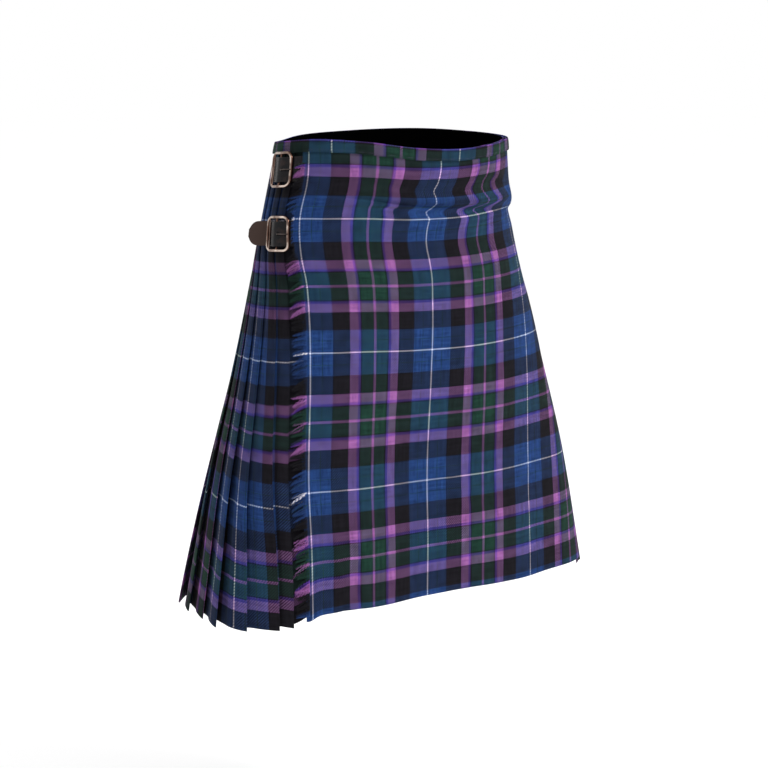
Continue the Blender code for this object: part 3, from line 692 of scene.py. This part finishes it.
cotton, tree, shader = new_material("black_cotton")
threads = [calc(tree, "MULTIPLY", place, pi / COTTON_THREAD) for place in place_on_map(tree)]
weave = calc(tree, "MULTIPLY", *(calc(tree, "SINE", thread) for thread in threads))
lint = noise(tree, 60.0, 4.0)
tinted = scaled(tree, LINING_COLOUR, between(tree, lint, 0.7, 1.3))
dress(tree, shader, tinted, between(tree, lint, 0.65, 0.85), weave, strength=0.2, distance=0.0001)
shader.inputs["Specular IOR Level"].default_value = 0.0

outer, inner, cut = [], [], []
for depth in depths_between(LINING_TOP, LINING_BOTTOM, LINING_ROWS):
    u = round_inside(depth)
    short, long = (2 * pi * u / wave_length for wave_length in LINING_PUCKERS)
    pucker = LINING_PUCKER * np.sin(short) * np.sin(long + 1.0)
    turn_at = LINING_BOTTOM - LINING_TURN
    turned_in = LINING_TURNED_IN * smooth(turn_at, turn_at + 0.2 * LINING_TURN, depth)
    outer.append(surface(u, depth, LINING_IN + LINING_WALL))
    inner.append(surface(u, depth, LINING_IN - turned_in + pucker))
    cut.append(np.stack([u, np.full_like(u, depth)], axis=-1))
lining = cloth_wall("waist_lining", outer, inner, cut, cotton)
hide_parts("lining")

# The binding, the lining's upper edge, folded out over the tops of the pleats and of the under apron.
BINDING_ROWS = 9
BINDING_THICK = 0.0005
BINDING_DOWN = 0.004
BINDING_UP = 0.0008
BINDING_WIDTH = 0.012
BAND_GAP = 0.0008
BAND_RISES = (-0.009, -0.022)


def over_folds(u):
    """How far out the waistband's inner face lies: over the under apron, and then over the pleats."""
    over_pleats = TOP_IN + WALL + BAND_GAP
    return MID_IN + (over_pleats - MID_IN) * smooth(*BAND_RISES, u)


u = round_inside(0.0)
reach_out = over_folds(u) - GAP
reach_out[u < APRON_EDGE - round_length(0.0) + apron_end(0.0)] = MID_IN
outer, inner, cut = [], [], []
for share in np.linspace(0.0, 1.0, BINDING_ROWS):
    down_inside = smooth(0.45, 0.0, share)
    out = LINING_IN - GAP + (reach_out - LINING_IN + GAP) * smooth(0.3, 1.0, share)
    top = -BINDING_UP + (BINDING_DOWN + BINDING_UP) * down_inside
    outer.append(surface(u, top, out))
    inner.append(surface(u, top + BINDING_THICK * (1.0 - down_inside), out + BINDING_THICK * down_inside))
    cut.append(np.stack([u, np.full_like(u, BINDING_WIDTH * share)], axis=-1))
binding = cloth_wall("waist_binding", outer, inner, cut, cotton)

# The over apron, the flat outer front. It laps the under apron and the first pleat, the lower strap pulls
# its right edge back, and its cloth slides a little sideways under the crease below the waist.
EDGE_LIFT = 0.0030
LIFT_AT_RIGHT = (0.055, 0.030)
LIFT_AT_LEFT = (0.086, 0.066)
LEFT_LIFT_ENDS = (0.11, 0.07)
LEFT_SHARE = 0.9
SLIDES = np.array([
    # depth, slide
    (0.000, 0.0000),
    (0.027, -0.0030),
    (0.044, 0.0005),
    (0.057, 0.0060),
    (0.066, 0.0005),
    (0.0745, -0.0050),
    (0.0785, -0.0035),
    (0.0815, 0.0045),
    (0.094, 0.0010),
    (0.110, 0.0025),
    (0.124, 0.0030),
    (0.150, -0.0010),
    (0.200, 0.0000),
])
SLIDE_FADES_IN = (0.06, 0.17)
SLIDE_GROWS = (0.18, 0.26)
SLIDE_GROWS_TO = 1.5
SAG = 0.008
SAG_WIDTH = (0.24, 0.0)
SAG_DEPTH = (0.26, 0.12)
HEM_WAVES_FROM = 0.50
HEM_WAVES = (
    # middle_u, half_width, drop
    (-0.006, 0.012, 0.0065),
    (0.055, 0.020, -0.0018),
    (0.120, 0.030, 0.0012),
    (0.240, 0.040, -0.0012),
    (0.350, 0.035, 0.0015),
)


def edge_lift(u, depth):
    """How far the over apron stands off what it laps: along its fringed edge, and over the left strap."""
    right = smooth(*LIFT_AT_RIGHT, u)
    left = smooth(*LIFT_AT_LEFT, apron_end(depth) - u) * smooth(*LEFT_LIFT_ENDS, depth)
    return EDGE_LIFT * (right + LEFT_SHARE * left)


def hem_drop(u, depth):
    """The uneven hang of the front hem."""
    total = sum(drop * np.exp(-(((u - middle) / half) ** 2)) for middle, half, drop in HEM_WAVES)
    return total * smooth(HEM_WAVES_FROM, LENGTH, depth)


outer, inner, cut = [], [], []
for depth in depths:
    u = np.linspace(APRON_EDGE, apron_end(depth), APRON_COLUMNS + 1)
    lifted = TOP_IN + edge_lift(u, depth)
    hang = hem_drop(u, depth)
    outer.append(surface(u, depth, lifted + WALL, hang))
    inner.append(surface(u, depth, lifted, hang))
    grown = smooth(*SLIDE_FADES_IN, u) * (1.0 + (SLIDE_GROWS_TO - 1.0) * smooth(*SLIDE_GROWS, u))
    slid = curve_through(SLIDES, 1, depth) * grown * (depth < SLIDES[-1, 0])
    sagged = SAG * smooth(*SAG_WIDTH, u) * smooth(*SAG_DEPTH, depth)
    cut.append(np.stack([u + slid, depth - FIRST_WHITE_WEFT - sagged], axis=-1))
over_apron = cloth_wall("over_apron_cloth", outer, inner, cut, wool)

# The fringe, the over apron's right edge with its upright yarns drawn out. The crosswise yarns that are left
# hang off it in drooping tufts, each in its stripe's colour, and shorter where a buckle stands in their way.
FRINGE_YARNS = 1020
FRINGE_SEED = 7
YARNS_IN_TUFT = (5, 14)
TUFT_REACH = (0.78, 1.0)
TUFT_DROOP = (0.10, 0.62)
TUFT_PULL = (0.45, 0.95)
TUFT_LIFT = (-0.0003, 0.0014)
DROOP_CURVE = 1.35
GATHER_CURVE = 0.6
YARN_RADIUS = 0.00033
YARN_SIZES = (0.8, 1.25)
YARN_TAPER = 0.5
YARN_SIDES = 4
YARN_STEPS = 20
YARN_START = 0.0040
START_FOR_SHORT = 0.004
YARN_PAST_EDGE = 0.0020
YARN_REACH = (0.80, 1.0)
YARN_CRIMP = 0.0038
CRIMP_LENGTHS = (0.8, 1.3)
CRIMP_SIZES = (0.00040, 0.00110)
YARN_BOW = 0.0011
YARN_TOSS = 0.0006
YARN_OFF_CLOTH = 0.0003
ROOT_DIP = 0.0007
STRAND_LENGTH = 0.0150
FRINGE_TOP = 0.028
FRINGE_END = LENGTH - 0.001
FRINGE_TRIM = (
    # above, start, end, below, short
    (-0.100, -0.050, 0.0600, 0.0645, 0.0095),
    (0.078, 0.093, 0.1435, 0.1470, 0.0012),
)
OVER_STRAP = (0.012, 0.018, 0.054, 0.060)
OVER_STRAP_RISE = 0.0018
OVER_STRAP_TIP_RISE = 0.0028
FALL_BESIDE_EDGE = 0.0016


def strand_reach(depth):
    """A strand's length by where its root is: shorter where a buckle's frame stands in its way."""
    reach = np.full_like(depth, STRAND_LENGTH)
    for above, start, end, below, short in FRINGE_TRIM:
        reach += (short - reach) * smooth(above, start, depth) * smooth(below, end, depth)
    return reach


def yarn_material(name):
    """The fringe's loose yarns: each has its weft stripe's colour, painted lighter than the same wool in the
    cloth, and mottled where the fibres part.
    """
    look, tree, shader = new_material(name)
    yarn_shade, weft = place_on_map(tree)
    fibres = noise(tree, 900.0, 3.0)
    # Painted light: the yarn shade's range runs from 0.6 to 1.9, higher than the cloth's, so the loose yarns
    # are painted lighter than the same wool woven.
    lightness = calc(tree, "MULTIPLY", between(tree, fibres, 0.6, 1.4), between(tree, yarn_shade, 0.6, 1.9))
    coloured = scaled(tree, yarn_colour(tree, weft), lightness)
    dress(tree, shader, coloured, between(tree, fibres, 0.75, 0.95), fibres, strength=0.3, distance=0.0002)
    shader.inputs["Specular IOR Level"].default_value = 0.05
    shader.inputs["Sheen Weight"].default_value = 0.03
    return look


def tube_round(lines, radii, sides):
    """Closed tubes round many lines at once: lines is (tubes, steps, 3). Returns points and faces."""
    count, steps = lines.shape[:2]
    run = np.gradient(lines, axis=1)
    run /= np.linalg.norm(run, axis=2, keepdims=True) + 1e-9
    first = np.cross(run, (0.31, 0.22, 0.92))
    first /= np.linalg.norm(first, axis=2, keepdims=True)
    second = np.cross(run, first)
    turn = 2 * pi * np.arange(sides) / sides
    ring = np.cos(turn)[:, None] * first[:, :, None] + np.sin(turn)[:, None] * second[:, :, None]
    points = lines[:, :, None] + radii[:, :, None, None] * ring
    ids = np.arange(count * steps * sides).reshape(count, steps, sides)
    ahead = np.roll(ids, -1, axis=2)
    sides_of = np.stack([ids[:, :-1], ahead[:, :-1], ahead[:, 1:], ids[:, 1:]], axis=-1).reshape(-1, 4)
    faces = sides_of.tolist() + ids[:, 0, ::-1].tolist() + ids[:, -1].tolist()
    return points.reshape(-1, 3), faces


chance = np.random.default_rng(FRINGE_SEED)


def for_each_yarn(low, high):
    return chance.uniform(low, high, (FRINGE_YARNS, 1))


roots = np.linspace(FRINGE_TOP, FRINGE_END, FRINGE_YARNS)
tuft_sizes = chance.integers(*YARNS_IN_TUFT, FRINGE_YARNS)
tuft = np.repeat(np.arange(FRINGE_YARNS), tuft_sizes)[:FRINGE_YARNS]
tufts = tuft.max() + 1
tuft_reach, tuft_droop, tuft_pull, tuft_lift = (
    chance.uniform(*limits, tufts)[tuft] for limits in (TUFT_REACH, TUFT_DROOP, TUFT_PULL, TUFT_LIFT)
)
tuft_middle = (np.bincount(tuft, roots) / np.bincount(tuft))[tuft]
trimmed = strand_reach(roots)
reach = trimmed * tuft_reach * chance.uniform(*YARN_REACH, FRINGE_YARNS)
start = YARN_START + START_FOR_SHORT * (1.0 - trimmed / STRAND_LENGTH)
end = -APRON_EDGE + YARN_PAST_EDGE + reach
share = np.linspace(0.0, 1.0, YARN_STEPS)[None, :]
length = (end - start)[:, None]
along = length * share
crimp = 2 * pi * along / (YARN_CRIMP * for_each_yarn(*CRIMP_LENGTHS))
crimp += for_each_yarn(0.0, 6.28)
crimp_size = for_each_yarn(*CRIMP_SIZES) * smooth(0.0, 0.15, share)
bow = chance.normal(0.0, YARN_BOW, (FRINGE_YARNS, 1)) * np.sin(pi * share)
gather = ((tuft_middle - roots) * tuft_pull)[:, None] * share**GATHER_CURVE
away = start[:, None] + along
droop = length * tuft_droop[:, None] * share**DROOP_CURVE
down = roots[:, None] + droop + gather + bow + crimp_size * np.sin(crimp)
down = np.minimum(down, FRINGE_END)
above, start_strap, end_strap, below = OVER_STRAP
over_strap = (smooth(above, start_strap, roots) * smooth(below, end_strap, roots))[:, None]
rise = TOP_IN + EDGE_LIFT + WALL + YARN_OFF_CLOTH + tuft_lift[:, None] * share
rise = rise - FALL_BESIDE_EDGE * smooth(0.30, 0.85, share) * (1.0 - over_strap)
rise = rise + over_strap * (OVER_STRAP_RISE + (OVER_STRAP_TIP_RISE - OVER_STRAP_RISE) * share) * share
rise = rise + crimp_size * np.cos(crimp) + for_each_yarn(0.0, YARN_TOSS) * share
rise = rise - ROOT_DIP * smooth(0.12, 0.0, share)
thickness = YARN_RADIUS * for_each_yarn(*YARN_SIZES) * (1.0 - YARN_TAPER * share**3)
points, faces = tube_round(placed(-away, down, rise), thickness, YARN_SIDES)
fringe = piece_of("fringe_yarns", points, faces, yarn_material("loose_yarn"))
row = np.repeat(roots - FIRST_WHITE_WEFT - SAG * smooth(*SAG_DEPTH, roots), YARN_STEPS * YARN_SIDES)
yarn_shade = np.repeat(chance.uniform(0.0, 1.0, FRINGE_YARNS), YARN_STEPS * YARN_SIDES)
lay_cut(fringe.data, np.stack([yarn_shade, row], axis=-1))
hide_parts("apron_fringe")
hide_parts("over_apron")

# The waistband, one strip of the same twill folded under at both edges. It runs over the under apron, round
# the pleats and once more over the over apron, and a row of machine stitches holds its lower edge.
BAND_HEIGHT = 0.0150
BAND_ABOVE = 0.001
BAND_ROWS = 10
BAND_COLUMN = 0.004
BAND_CUT_ACROSS = -0.031
PLEATS_BAND_CUT = 0.878
BAND_CUT_DOWN = 0.0690
BAND_CROWN = 0.0007
CROWN_STARTS = -0.03
BAND_PUCKER = 0.00022
BAND_PUCKER_LENGTH = 0.013
STITCH = 0.0032
STITCH_GAP = 0.0009
STITCH_RADIUS = 0.00026
STITCH_SIDES = 5
STITCH_UP = 0.0026
STITCH_ON_CROWN = 0.35
STITCHES_START = 0.004
STITCHES_END = -0.04
STITCH_CURVE = (
    # share of the stitch, height in thread radii
    (0.0, -1.2),
    (0.2, 0.35),
    (0.5, 0.6),
    (0.8, 0.35),
    (1.0, -1.2),
)
OUT_PROBE = 0.001


def band_offset(u, depth):
    """The inner face of the waistband at places u, which run back a whole turn past the pleats."""
    total = round_length(depth)
    over_apron_too = edge_lift(u + total, depth) + wave(u + total, depth)
    return over_folds(u) + np.where(u < -0.5 * total, over_apron_too, 0.0)


outer, inner, cut = [], [], []
for depth in depths_between(-BAND_ABOVE, BAND_HEIGHT, BAND_ROWS):
    at = max(depth, 0.0)
    total = round_length(at)
    start, end = APRON_EDGE - total, under_apron_end(at)
    columns = len(outer[0]) if outer else round((end - start) / BAND_COLUMN) + 1
    u = np.linspace(start, end, columns)
    inside = band_offset(u, at)
    across = (depth + BAND_ABOVE) / (BAND_HEIGHT + BAND_ABOVE)
    crown = BAND_CROWN * (1.0 - (2.0 * across - 1.0) ** 4) * (u < CROWN_STARTS)
    pucker = BAND_PUCKER * np.sin(u * 2 * pi / BAND_PUCKER_LENGTH) * smooth(0.5, 1.0, across)
    outer.append(surface(u, depth, inside + WALL + crown + pucker))
    inner.append(surface(u, depth, inside))
    along = u + np.where(u < -0.5 * total, total + BAND_CUT_ACROSS, PLEATS_BAND_CUT)
    cut.append(np.stack([along, np.full_like(u, depth + BAND_CUT_DOWN)], axis=-1))
waistband = cloth_wall("waistband_cloth", outer, inner, cut, wool)
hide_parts("waistband")


def thread_material(name, colour):
    """Sewing thread, twisted from two plies."""
    look, tree, shader = new_material(name)
    plies = noise(tree, 1600.0, 2.0)
    tinted = scaled(tree, colour, between(tree, plies, 0.6, 1.3))
    dress(tree, shader, tinted, between(tree, plies, 0.5, 0.7))
    return look


def stitched(name, ends, outs, look):
    """A row of stitches: each is a short thread that dips into the cloth at both ends."""
    ends, outs = np.array(ends), np.array(outs)[:, None]
    starts, stops = ends[:, :1], ends[:, 1:]
    share, arch = np.array(STITCH_CURVE).T[:, :, None]
    lines = starts + (stops - starts) * share + outs * (arch * STITCH_RADIUS)
    points, faces = tube_round(lines, np.full(lines.shape[:2], STITCH_RADIUS), STITCH_SIDES)
    piece_of(name, points, faces, look)


dark_thread = thread_material("dark_thread", (0.030, 0.018, 0.060))
seam_depth = BAND_HEIGHT - STITCH_UP
first_stitch = APRON_EDGE - round_length(seam_depth) + STITCHES_START
ends, outs = [], []
for start in np.arange(first_stitch, STITCHES_END, STITCH + STITCH_GAP):
    pair = np.array([start, start + STITCH])
    over = band_offset(pair, seam_depth) + WALL + STITCH_ON_CROWN * BAND_CROWN
    inside, outside = surface(pair, seam_depth, over), surface(pair, seam_depth, over + OUT_PROBE)
    ends.append(inside)
    outs.append((outside[0] - inside[0]) / OUT_PROBE)
stitched("waistband_stitches", ends, outs, dark_thread)

# The three fastenings, two at the right hip and one at the left. Each has a leather strap sewn to the apron,
# a cast metal buckle with a middle bar and a thin keeper bar, a prong through the strap's hole, and a
# leather tab that holds the middle bar.
STRAP_WIDTH = 0.032
STRAP_THICK = 0.0018
TAB_THICK = 0.0024
TAB_WIDTH = 0.018
FRAME_HEIGHT = 0.047
FRAME_WIDTH = 0.042
FRAME_CORNER = 0.008
WIRE = 0.0020
BAR = 0.0014
KEEPER = 0.0009
KEEPER_IN = 0.0052
KEEPER_RISE = 0.0007
PLAY = 0.0007
HUMP = 0.006
HUMP_FALL = 0.0012
RAIL_STEP = 0.005
RAIL_RISE = 0.0005
PAST_FRAME = 0.003
HOLE_MIDDLE = 0.0053
HOLE_RADIUS = 0.0021
EDGE_CREASE = 0.0030
CREASE_DEPTH = 0.0003
CREASE_WIDTH = 0.0006
EDGE_ROUND = 0.0012
EDGE_ROUND_DEPTH = 0.0005
STRAP_COLUMN = 0.0012
STRAP_ROWS = 26
TIP_SQUARENESS = 2.6
TIP_LEAST = 0.12
LEATHER_UNDERSIDE = 0.0002
TAB_UNDERSIDE = 0.001
TAB_THINS = 0.0008
TAB_BEVEL = 0.0004
TAB_STITCHES_AT = 0.42
TAB_STITCH = 0.0026
TAB_STITCH_STEP = 0.0036
TAB_STITCHES_SPAN = (-0.013, 0.0125)
ROUTE_STEP = 0.0005
ROUTE_ROUNDING = 5
WEAR_GROWS_OVER = 0.003
PRONG_STEPS = 26
PRONG_SIDES = 10
LEATHER_BLACK = (0.0020, 0.0020, 0.0030, 1.0)
LEATHER_BROWN = (0.0330, 0.0170, 0.0125, 1.0)
FASTENINGS = (
    # name, hip, depth, seat, frame_start, tip, tip_lift
    ("upper_right", "right", 0.036, 0.0024, 0.0130, 0.066, 0.000),
    ("lower_right", "right", 0.119, 0.0004, 0.0045, 0.077, 0.016),
    ("left", "left", 0.046, 0.0004, 0.0120, 0.062, 0.000),
)
STRAP_ROOTS = {
    # hip: (along, offset of the inner face)
    "right": ((-0.036, -0.0008), (0.0025, -0.0008)),
    "left": ((-0.062, -0.0021), (-0.040, -0.0021), (-0.015, -0.0012), (0.0015, -0.0012), (0.006, 0.0004)),
}


def bend_round_hip(piece, hip, depth, route=None, wire_level=None):
    """Lays a piece that is modelled flat onto the cloth of a hip. Its x runs along the strap, y up, z out.

    A route is a table of along and offset, which the piece rises and falls with. The UV map keeps along and
    up, or for metal, along and how far a point stands over the wire's middle.
    """
    flat = np.array([vertex.co for vertex in piece.data.vertices])
    along, up, out = flat[:, 0], flat[:, 1], flat[:, 2]
    second = up if wire_level is None else (out - wire_level) / WIRE
    lay_cut(piece.data, np.stack([along, second], axis=-1))
    if route is not None:
        out = out + np.interp(along, route[:, 0], route[:, 1])
    here = depth - up
    u = APRON_EDGE - along if hip == "right" else apron_end(here) + along
    piece.data.vertices.foreach_set("co", placed(u, here, out).astype(np.float32).ravel())
    if hip == "right":
        piece.data.flip_normals()
    piece.data.update()


def softened(route):
    """The route as a fine table, with its corners rounded off."""
    fine_along = np.arange(route[0][0], route[-1][0] + ROUTE_STEP, ROUTE_STEP)
    fine_out = np.interp(fine_along, *np.array(route).T)
    span = np.hanning(2 * ROUTE_ROUNDING + 1)
    padded = np.pad(fine_out, ROUTE_ROUNDING, mode="edge")
    return np.stack([fine_along, np.convolve(padded, span / span.sum(), mode="valid")], axis=-1)


def frame_plane(seat):
    return seat + STRAP_THICK + PLAY + WIRE


def apply_modifiers(piece):
    bpy.ops.object.select_all(action="DESELECT")
    piece.select_set(True)
    bpy.context.view_layer.objects.active = piece
    for modifier in list(piece.modifiers):
        bpy.ops.object.modifier_apply(modifier=modifier.name)


def ramped(tree, value, low, high, top=1.0, **settings):
    """0 where a value is at low or less, and top where it is at high or more."""
    return wired(tree, "ShaderNodeMapRange", {0: value, 1: low, 2: high, 4: top}, **settings)[0]


def leather_material(name, worn_from):
    """Bridle leather: black and polished in the buckle, and browner and duller where its tip is worn."""
    look, tree, shader = new_material(name)
    along, _ = place_on_map(tree)
    solid = wired(tree, "ShaderNodeTexCoord", {})[3]
    pores = wired(tree, "ShaderNodeTexVoronoi", {"Vector": solid, "Scale": 1400.0}, feature="F1")[0]
    clouds = noise(tree, 130.0, 5.0)
    past_frame = ramped(tree, along, worn_from, worn_from + WEAR_GROWS_OVER)
    scuffs = ramped(tree, clouds, 0.45, 0.72, top=0.35)
    wear_and_painted_highlight = calc(tree, "MAXIMUM", scuffs, calc(tree, "MULTIPLY", past_frame, 0.9))
    tone = mixed(tree, wear_and_painted_highlight, LEATHER_BLACK, LEATHER_BROWN)
    grain = calc(tree, "ADD", calc(tree, "MULTIPLY", pores, 0.7), calc(tree, "MULTIPLY", clouds, 0.6))
    dress(tree, shader, tone, between(tree, wear_and_painted_highlight, 0.26, 0.66), grain, strength=0.30, distance=0.0002)
    shader.inputs["Specular IOR Level"].default_value = 0.18
    return look


def metal_material(name, bright, dull):
    """Plated cast metal: lighter on its top as a painted highlight, browner down its sides as patina and
    painted dark reflection, and faintly smudged.
    """
    look, tree, shader = new_material(name)
    smudge = ramped(tree, noise(tree, 75.0, 3.0), 0.40, 0.62)
    _, level = place_on_map(tree)
    # Painted highlight and shade: the colour goes from dull to bright with how far a point stands over the
    # wire's middle. The dull sides are partly patina.
    wear_and_painted_highlight = ramped(tree, level, 0.62, 1.0, interpolation_type="SMOOTHSTEP")
    tone = mixed(tree, calc(tree, "MULTIPLY", wear_and_painted_highlight, between(tree, smudge, 0.15, 1.0)), dull, bright)
    dress(tree, shader, tone, between(tree, smudge, 0.10, 0.28), smudge, strength=0.08, distance=0.0003)
    shader.inputs["Metallic"].default_value = 1.0
    return look


# The buckles' bright colour is a painted highlight on their tops. Their dull colour is patina and painted
# dark reflection down their sides.
plate = metal_material("warm_plate", (0.66, 0.55, 0.48, 1.0), (0.090, 0.045, 0.032, 1.0))
# The prong's metal is a darker copy of the buckles' plate: a painted dark reflection, so it reads dark
# against the black strap.
prong_plate_painted_dark = metal_material("prong_plate_painted_dark", (0.080, 0.065, 0.060, 1.0), (0.030, 0.024, 0.022, 1.0))
strap_thread = thread_material("strap_thread", (0.040, 0.024, 0.018))


def add_strap(name, hip, depth, seat, frame_start, tip, tip_lift):
    """A flat strip with a round tip, creased along its edges and punched, then led through the buckle."""
    middle, far = frame_start + 0.5 * FRAME_WIDTH, frame_start + FRAME_WIDTH
    high = frame_plane(seat) + BAR + PLAY
    root = STRAP_ROOTS[hip][0][0]
    columns = round((tip - root) / STRAP_COLUMN)
    bpy.ops.mesh.primitive_grid_add(x_subdivisions=columns, y_subdivisions=STRAP_ROWS, size=1.0)
    strap = bpy.context.object
    strap.name = "strap_" + name + "_leather"
    half = 0.5 * STRAP_WIDTH
    for vertex in strap.data.vertices:
        along = root + (vertex.co.x + 0.5) * (tip - root)
        past = max(0.0, along - (tip - half)) / half
        narrow = max(TIP_LEAST, 1.0 - past**TIP_SQUARENESS) ** 0.5
        up = 2.0 * vertex.co.y * half * narrow
        from_edge = half * narrow - abs(up)
        groove = CREASE_DEPTH * np.exp(-(((from_edge - EDGE_CREASE) / CREASE_WIDTH) ** 2))
        rounding = EDGE_ROUND_DEPTH * max(0.0, 1.0 - from_edge / EDGE_ROUND) ** 2
        vertex.co = (along, up, STRAP_THICK - groove - rounding)
    thicken = strap.modifiers.new("thicken", "SOLIDIFY")
    thicken.thickness = STRAP_THICK - LEATHER_UNDERSIDE
    thicken.offset = -1.0
    apply_modifiers(strap)
    bpy.ops.mesh.primitive_cylinder_add(radius=HOLE_RADIUS, depth=0.01, vertices=24,
                                        location=(middle - HOLE_MIDDLE, 0.0, 0.0))
    punch = bpy.context.object
    punched = strap.modifiers.new("hole", "BOOLEAN")
    punched.operation = "DIFFERENCE"
    punched.object = punch
    apply_modifiers(strap)
    bpy.data.objects.remove(punch)
    route = softened([
        *STRAP_ROOTS[hip],
        (frame_start, seat),
        (frame_start + RAIL_STEP, seat + RAIL_RISE),
        (middle - HUMP, high - HUMP_FALL),
        (middle, high),
        (middle + HUMP, high - HUMP_FALL),
        (far - RAIL_STEP, seat + RAIL_RISE),
        (far, seat),
        (far + PAST_FRAME, seat),
        (tip, seat + tip_lift),
    ])
    bend_round_hip(strap, hip, depth, route)
    strap.data.materials.append(leather_material("strap_" + name + "_leather", far))
    bpy.ops.object.shade_smooth_by_angle(angle=radians(50))
    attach(strap, "root")
    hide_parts("strap_" + name)


def add_tab(name, hip, depth, seat, frame_start):
    """The folded tab round the middle bar, a bevelled plate under the strap."""
    middle = frame_start + 0.5 * FRAME_WIDTH
    bpy.ops.mesh.primitive_grid_add(x_subdivisions=18, y_subdivisions=24, size=1.0)
    tab = bpy.context.object
    tab.name = "tab_" + name + "_leather"
    for vertex in tab.data.vertices:
        thin = TAB_THINS * abs(2.0 * vertex.co.x) ** 6
        vertex.co = (middle + vertex.co.x * TAB_WIDTH, vertex.co.y * STRAP_WIDTH, TAB_THICK - thin + seat)
    thicken = tab.modifiers.new("thicken", "SOLIDIFY")
    thicken.thickness = TAB_THICK - TAB_UNDERSIDE
    thicken.offset = -1.0
    soften = tab.modifiers.new("soften", "BEVEL")
    soften.width = TAB_BEVEL
    soften.segments = 2
    apply_modifiers(tab)
    bend_round_hip(tab, hip, depth)
    tab.data.materials.append(leather_material("tab_" + name + "_leather", middle))
    bpy.ops.object.shade_smooth_by_angle(angle=radians(50))
    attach(tab, "root")
    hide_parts("tab_" + name)


def add_buckle(name, hip, depth, seat, frame_start):
    """A rounded rectangle swept with a round section, and two bars across it."""
    middle = frame_start + 0.5 * FRAME_WIDTH
    plane = frame_plane(seat)
    half_wide, half_high = 0.5 * FRAME_WIDTH - WIRE, 0.5 * FRAME_HEIGHT - WIRE
    bpy.ops.mesh.primitive_plane_add(size=1.0, location=(0.0, 0.0, 0.0))
    buckle = bpy.context.object
    buckle.name = "buckle_" + name + "_plate"
    for vertex in buckle.data.vertices:
        vertex.co = (middle + 2.0 * vertex.co.x * half_wide, 2.0 * vertex.co.y * half_high, plane)
    bpy.ops.object.mode_set(mode="EDIT")
    bpy.ops.mesh.select_all(action="SELECT")
    bpy.ops.mesh.delete(type="ONLY_FACE")
    bpy.ops.mesh.select_all(action="SELECT")
    bpy.ops.mesh.bevel(offset=FRAME_CORNER, segments=8, affect="VERTICES")
    bpy.ops.mesh.select_all(action="SELECT")
    bpy.ops.mesh.subdivide(number_cuts=0)
    bpy.ops.object.mode_set(mode="OBJECT")
    bpy.ops.object.convert(target="CURVE")
    buckle.data.bevel_depth = WIRE
    buckle.data.bevel_resolution = 4
    bpy.ops.object.convert(target="MESH")
    bars = (
        # along, height off the cloth, radius
        (middle, plane, BAR),
        (middle + half_wide - KEEPER_IN, plane + KEEPER_RISE, KEEPER),
    )
    for along, level, radius in bars:
        bpy.ops.mesh.primitive_cylinder_add(radius=radius, depth=2.0 * half_high, vertices=16,
                                            location=(along, 0.0, level), rotation=(0.5 * pi, 0.0, 0.0))
        bar = bpy.context.object
        bpy.ops.object.transform_apply(location=True, rotation=True, scale=True)
        weld = buckle.modifiers.new("weld", "BOOLEAN")
        weld.operation = "UNION"
        weld.object = bar
        apply_modifiers(buckle)
        bpy.data.objects.remove(bar)
    bend_round_hip(buckle, hip, depth, wire_level=plane)
    buckle.data.materials.append(plate)
    bpy.ops.object.shade_smooth_by_angle(angle=radians(40))
    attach(buckle, "root")
    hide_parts("buckle_" + name)


def add_prong(name, hip, depth, seat, frame_start):
    """A round tapered prong, up through the strap's hole and down onto the frame's first side."""
    plane = frame_plane(seat)
    middle = frame_start + 0.5 * FRAME_WIDTH
    strap_top = plane + BAR + PLAY + STRAP_THICK
    rail_top = plane + WIRE + GAP
    path = np.array([
        # along, out, radius
        (middle - 0.0032, plane + BAR + PLAY - 0.0008, 0.0010),
        (middle - 0.0046, strap_top - 0.0002, 0.0011),
        (middle - 0.0062, strap_top + 0.0011, 0.0011),
        (middle - 0.0110, rail_top + 0.0018, 0.0010),
        (frame_start + 0.0040, rail_top + 0.0010, 0.0009),
        (frame_start + 0.0004, rail_top + 0.0004, 0.0006),
    ])
    share = np.linspace(0, len(path) - 1, PRONG_STEPS)
    along, out, radius = (np.interp(share, np.arange(len(path)), column) for column in path.T)
    lines = np.stack([along, np.zeros_like(along), out], axis=-1)[None]
    points, faces = tube_round(lines, radius[None], PRONG_SIDES)
    prong = piece_of("prong_" + name + "_plate", points, faces, prong_plate_painted_dark)
    bend_round_hip(prong, hip, depth, wire_level=plane + STRAP_THICK)
    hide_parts("prong_" + name)


def add_strap_stitches(name, hip, depth, seat, frame_start):
    """The saddle stitches across the tab's two ends, where it is sewn through the cloth."""
    middle = frame_start + 0.5 * FRAME_WIDTH
    ends, outs = [], []
    for side in (-1.0, 1.0):
        along = middle + side * TAB_STITCHES_AT * TAB_WIDTH
        u = APRON_EDGE - along if hip == "right" else apron_end(depth) + along
        for up in np.arange(*TAB_STITCHES_SPAN, TAB_STITCH_STEP):
            down = depth - np.array([up, up + TAB_STITCH, up])
            over_tab = seat + TAB_THICK + np.array([0.0, 0.0, OUT_PROBE])
            low, high, off = placed(np.full(3, u), down, over_tab)
            ends.append((low, high))
            outs.append((off - low) / OUT_PROBE)
    stitched("tab_" + name + "_stitches", ends, outs, strap_thread)


for name, hip, depth, seat, frame_start, tip, tip_lift in FASTENINGS:
    add_tab(name, hip, depth, seat, frame_start)
    add_strap_stitches(name, hip, depth, seat, frame_start)
    add_strap(name, hip, depth, seat, frame_start, tip, tip_lift)
    add_buckle(name, hip, depth, seat, frame_start)
    add_prong(name, hip, depth, seat, frame_start)
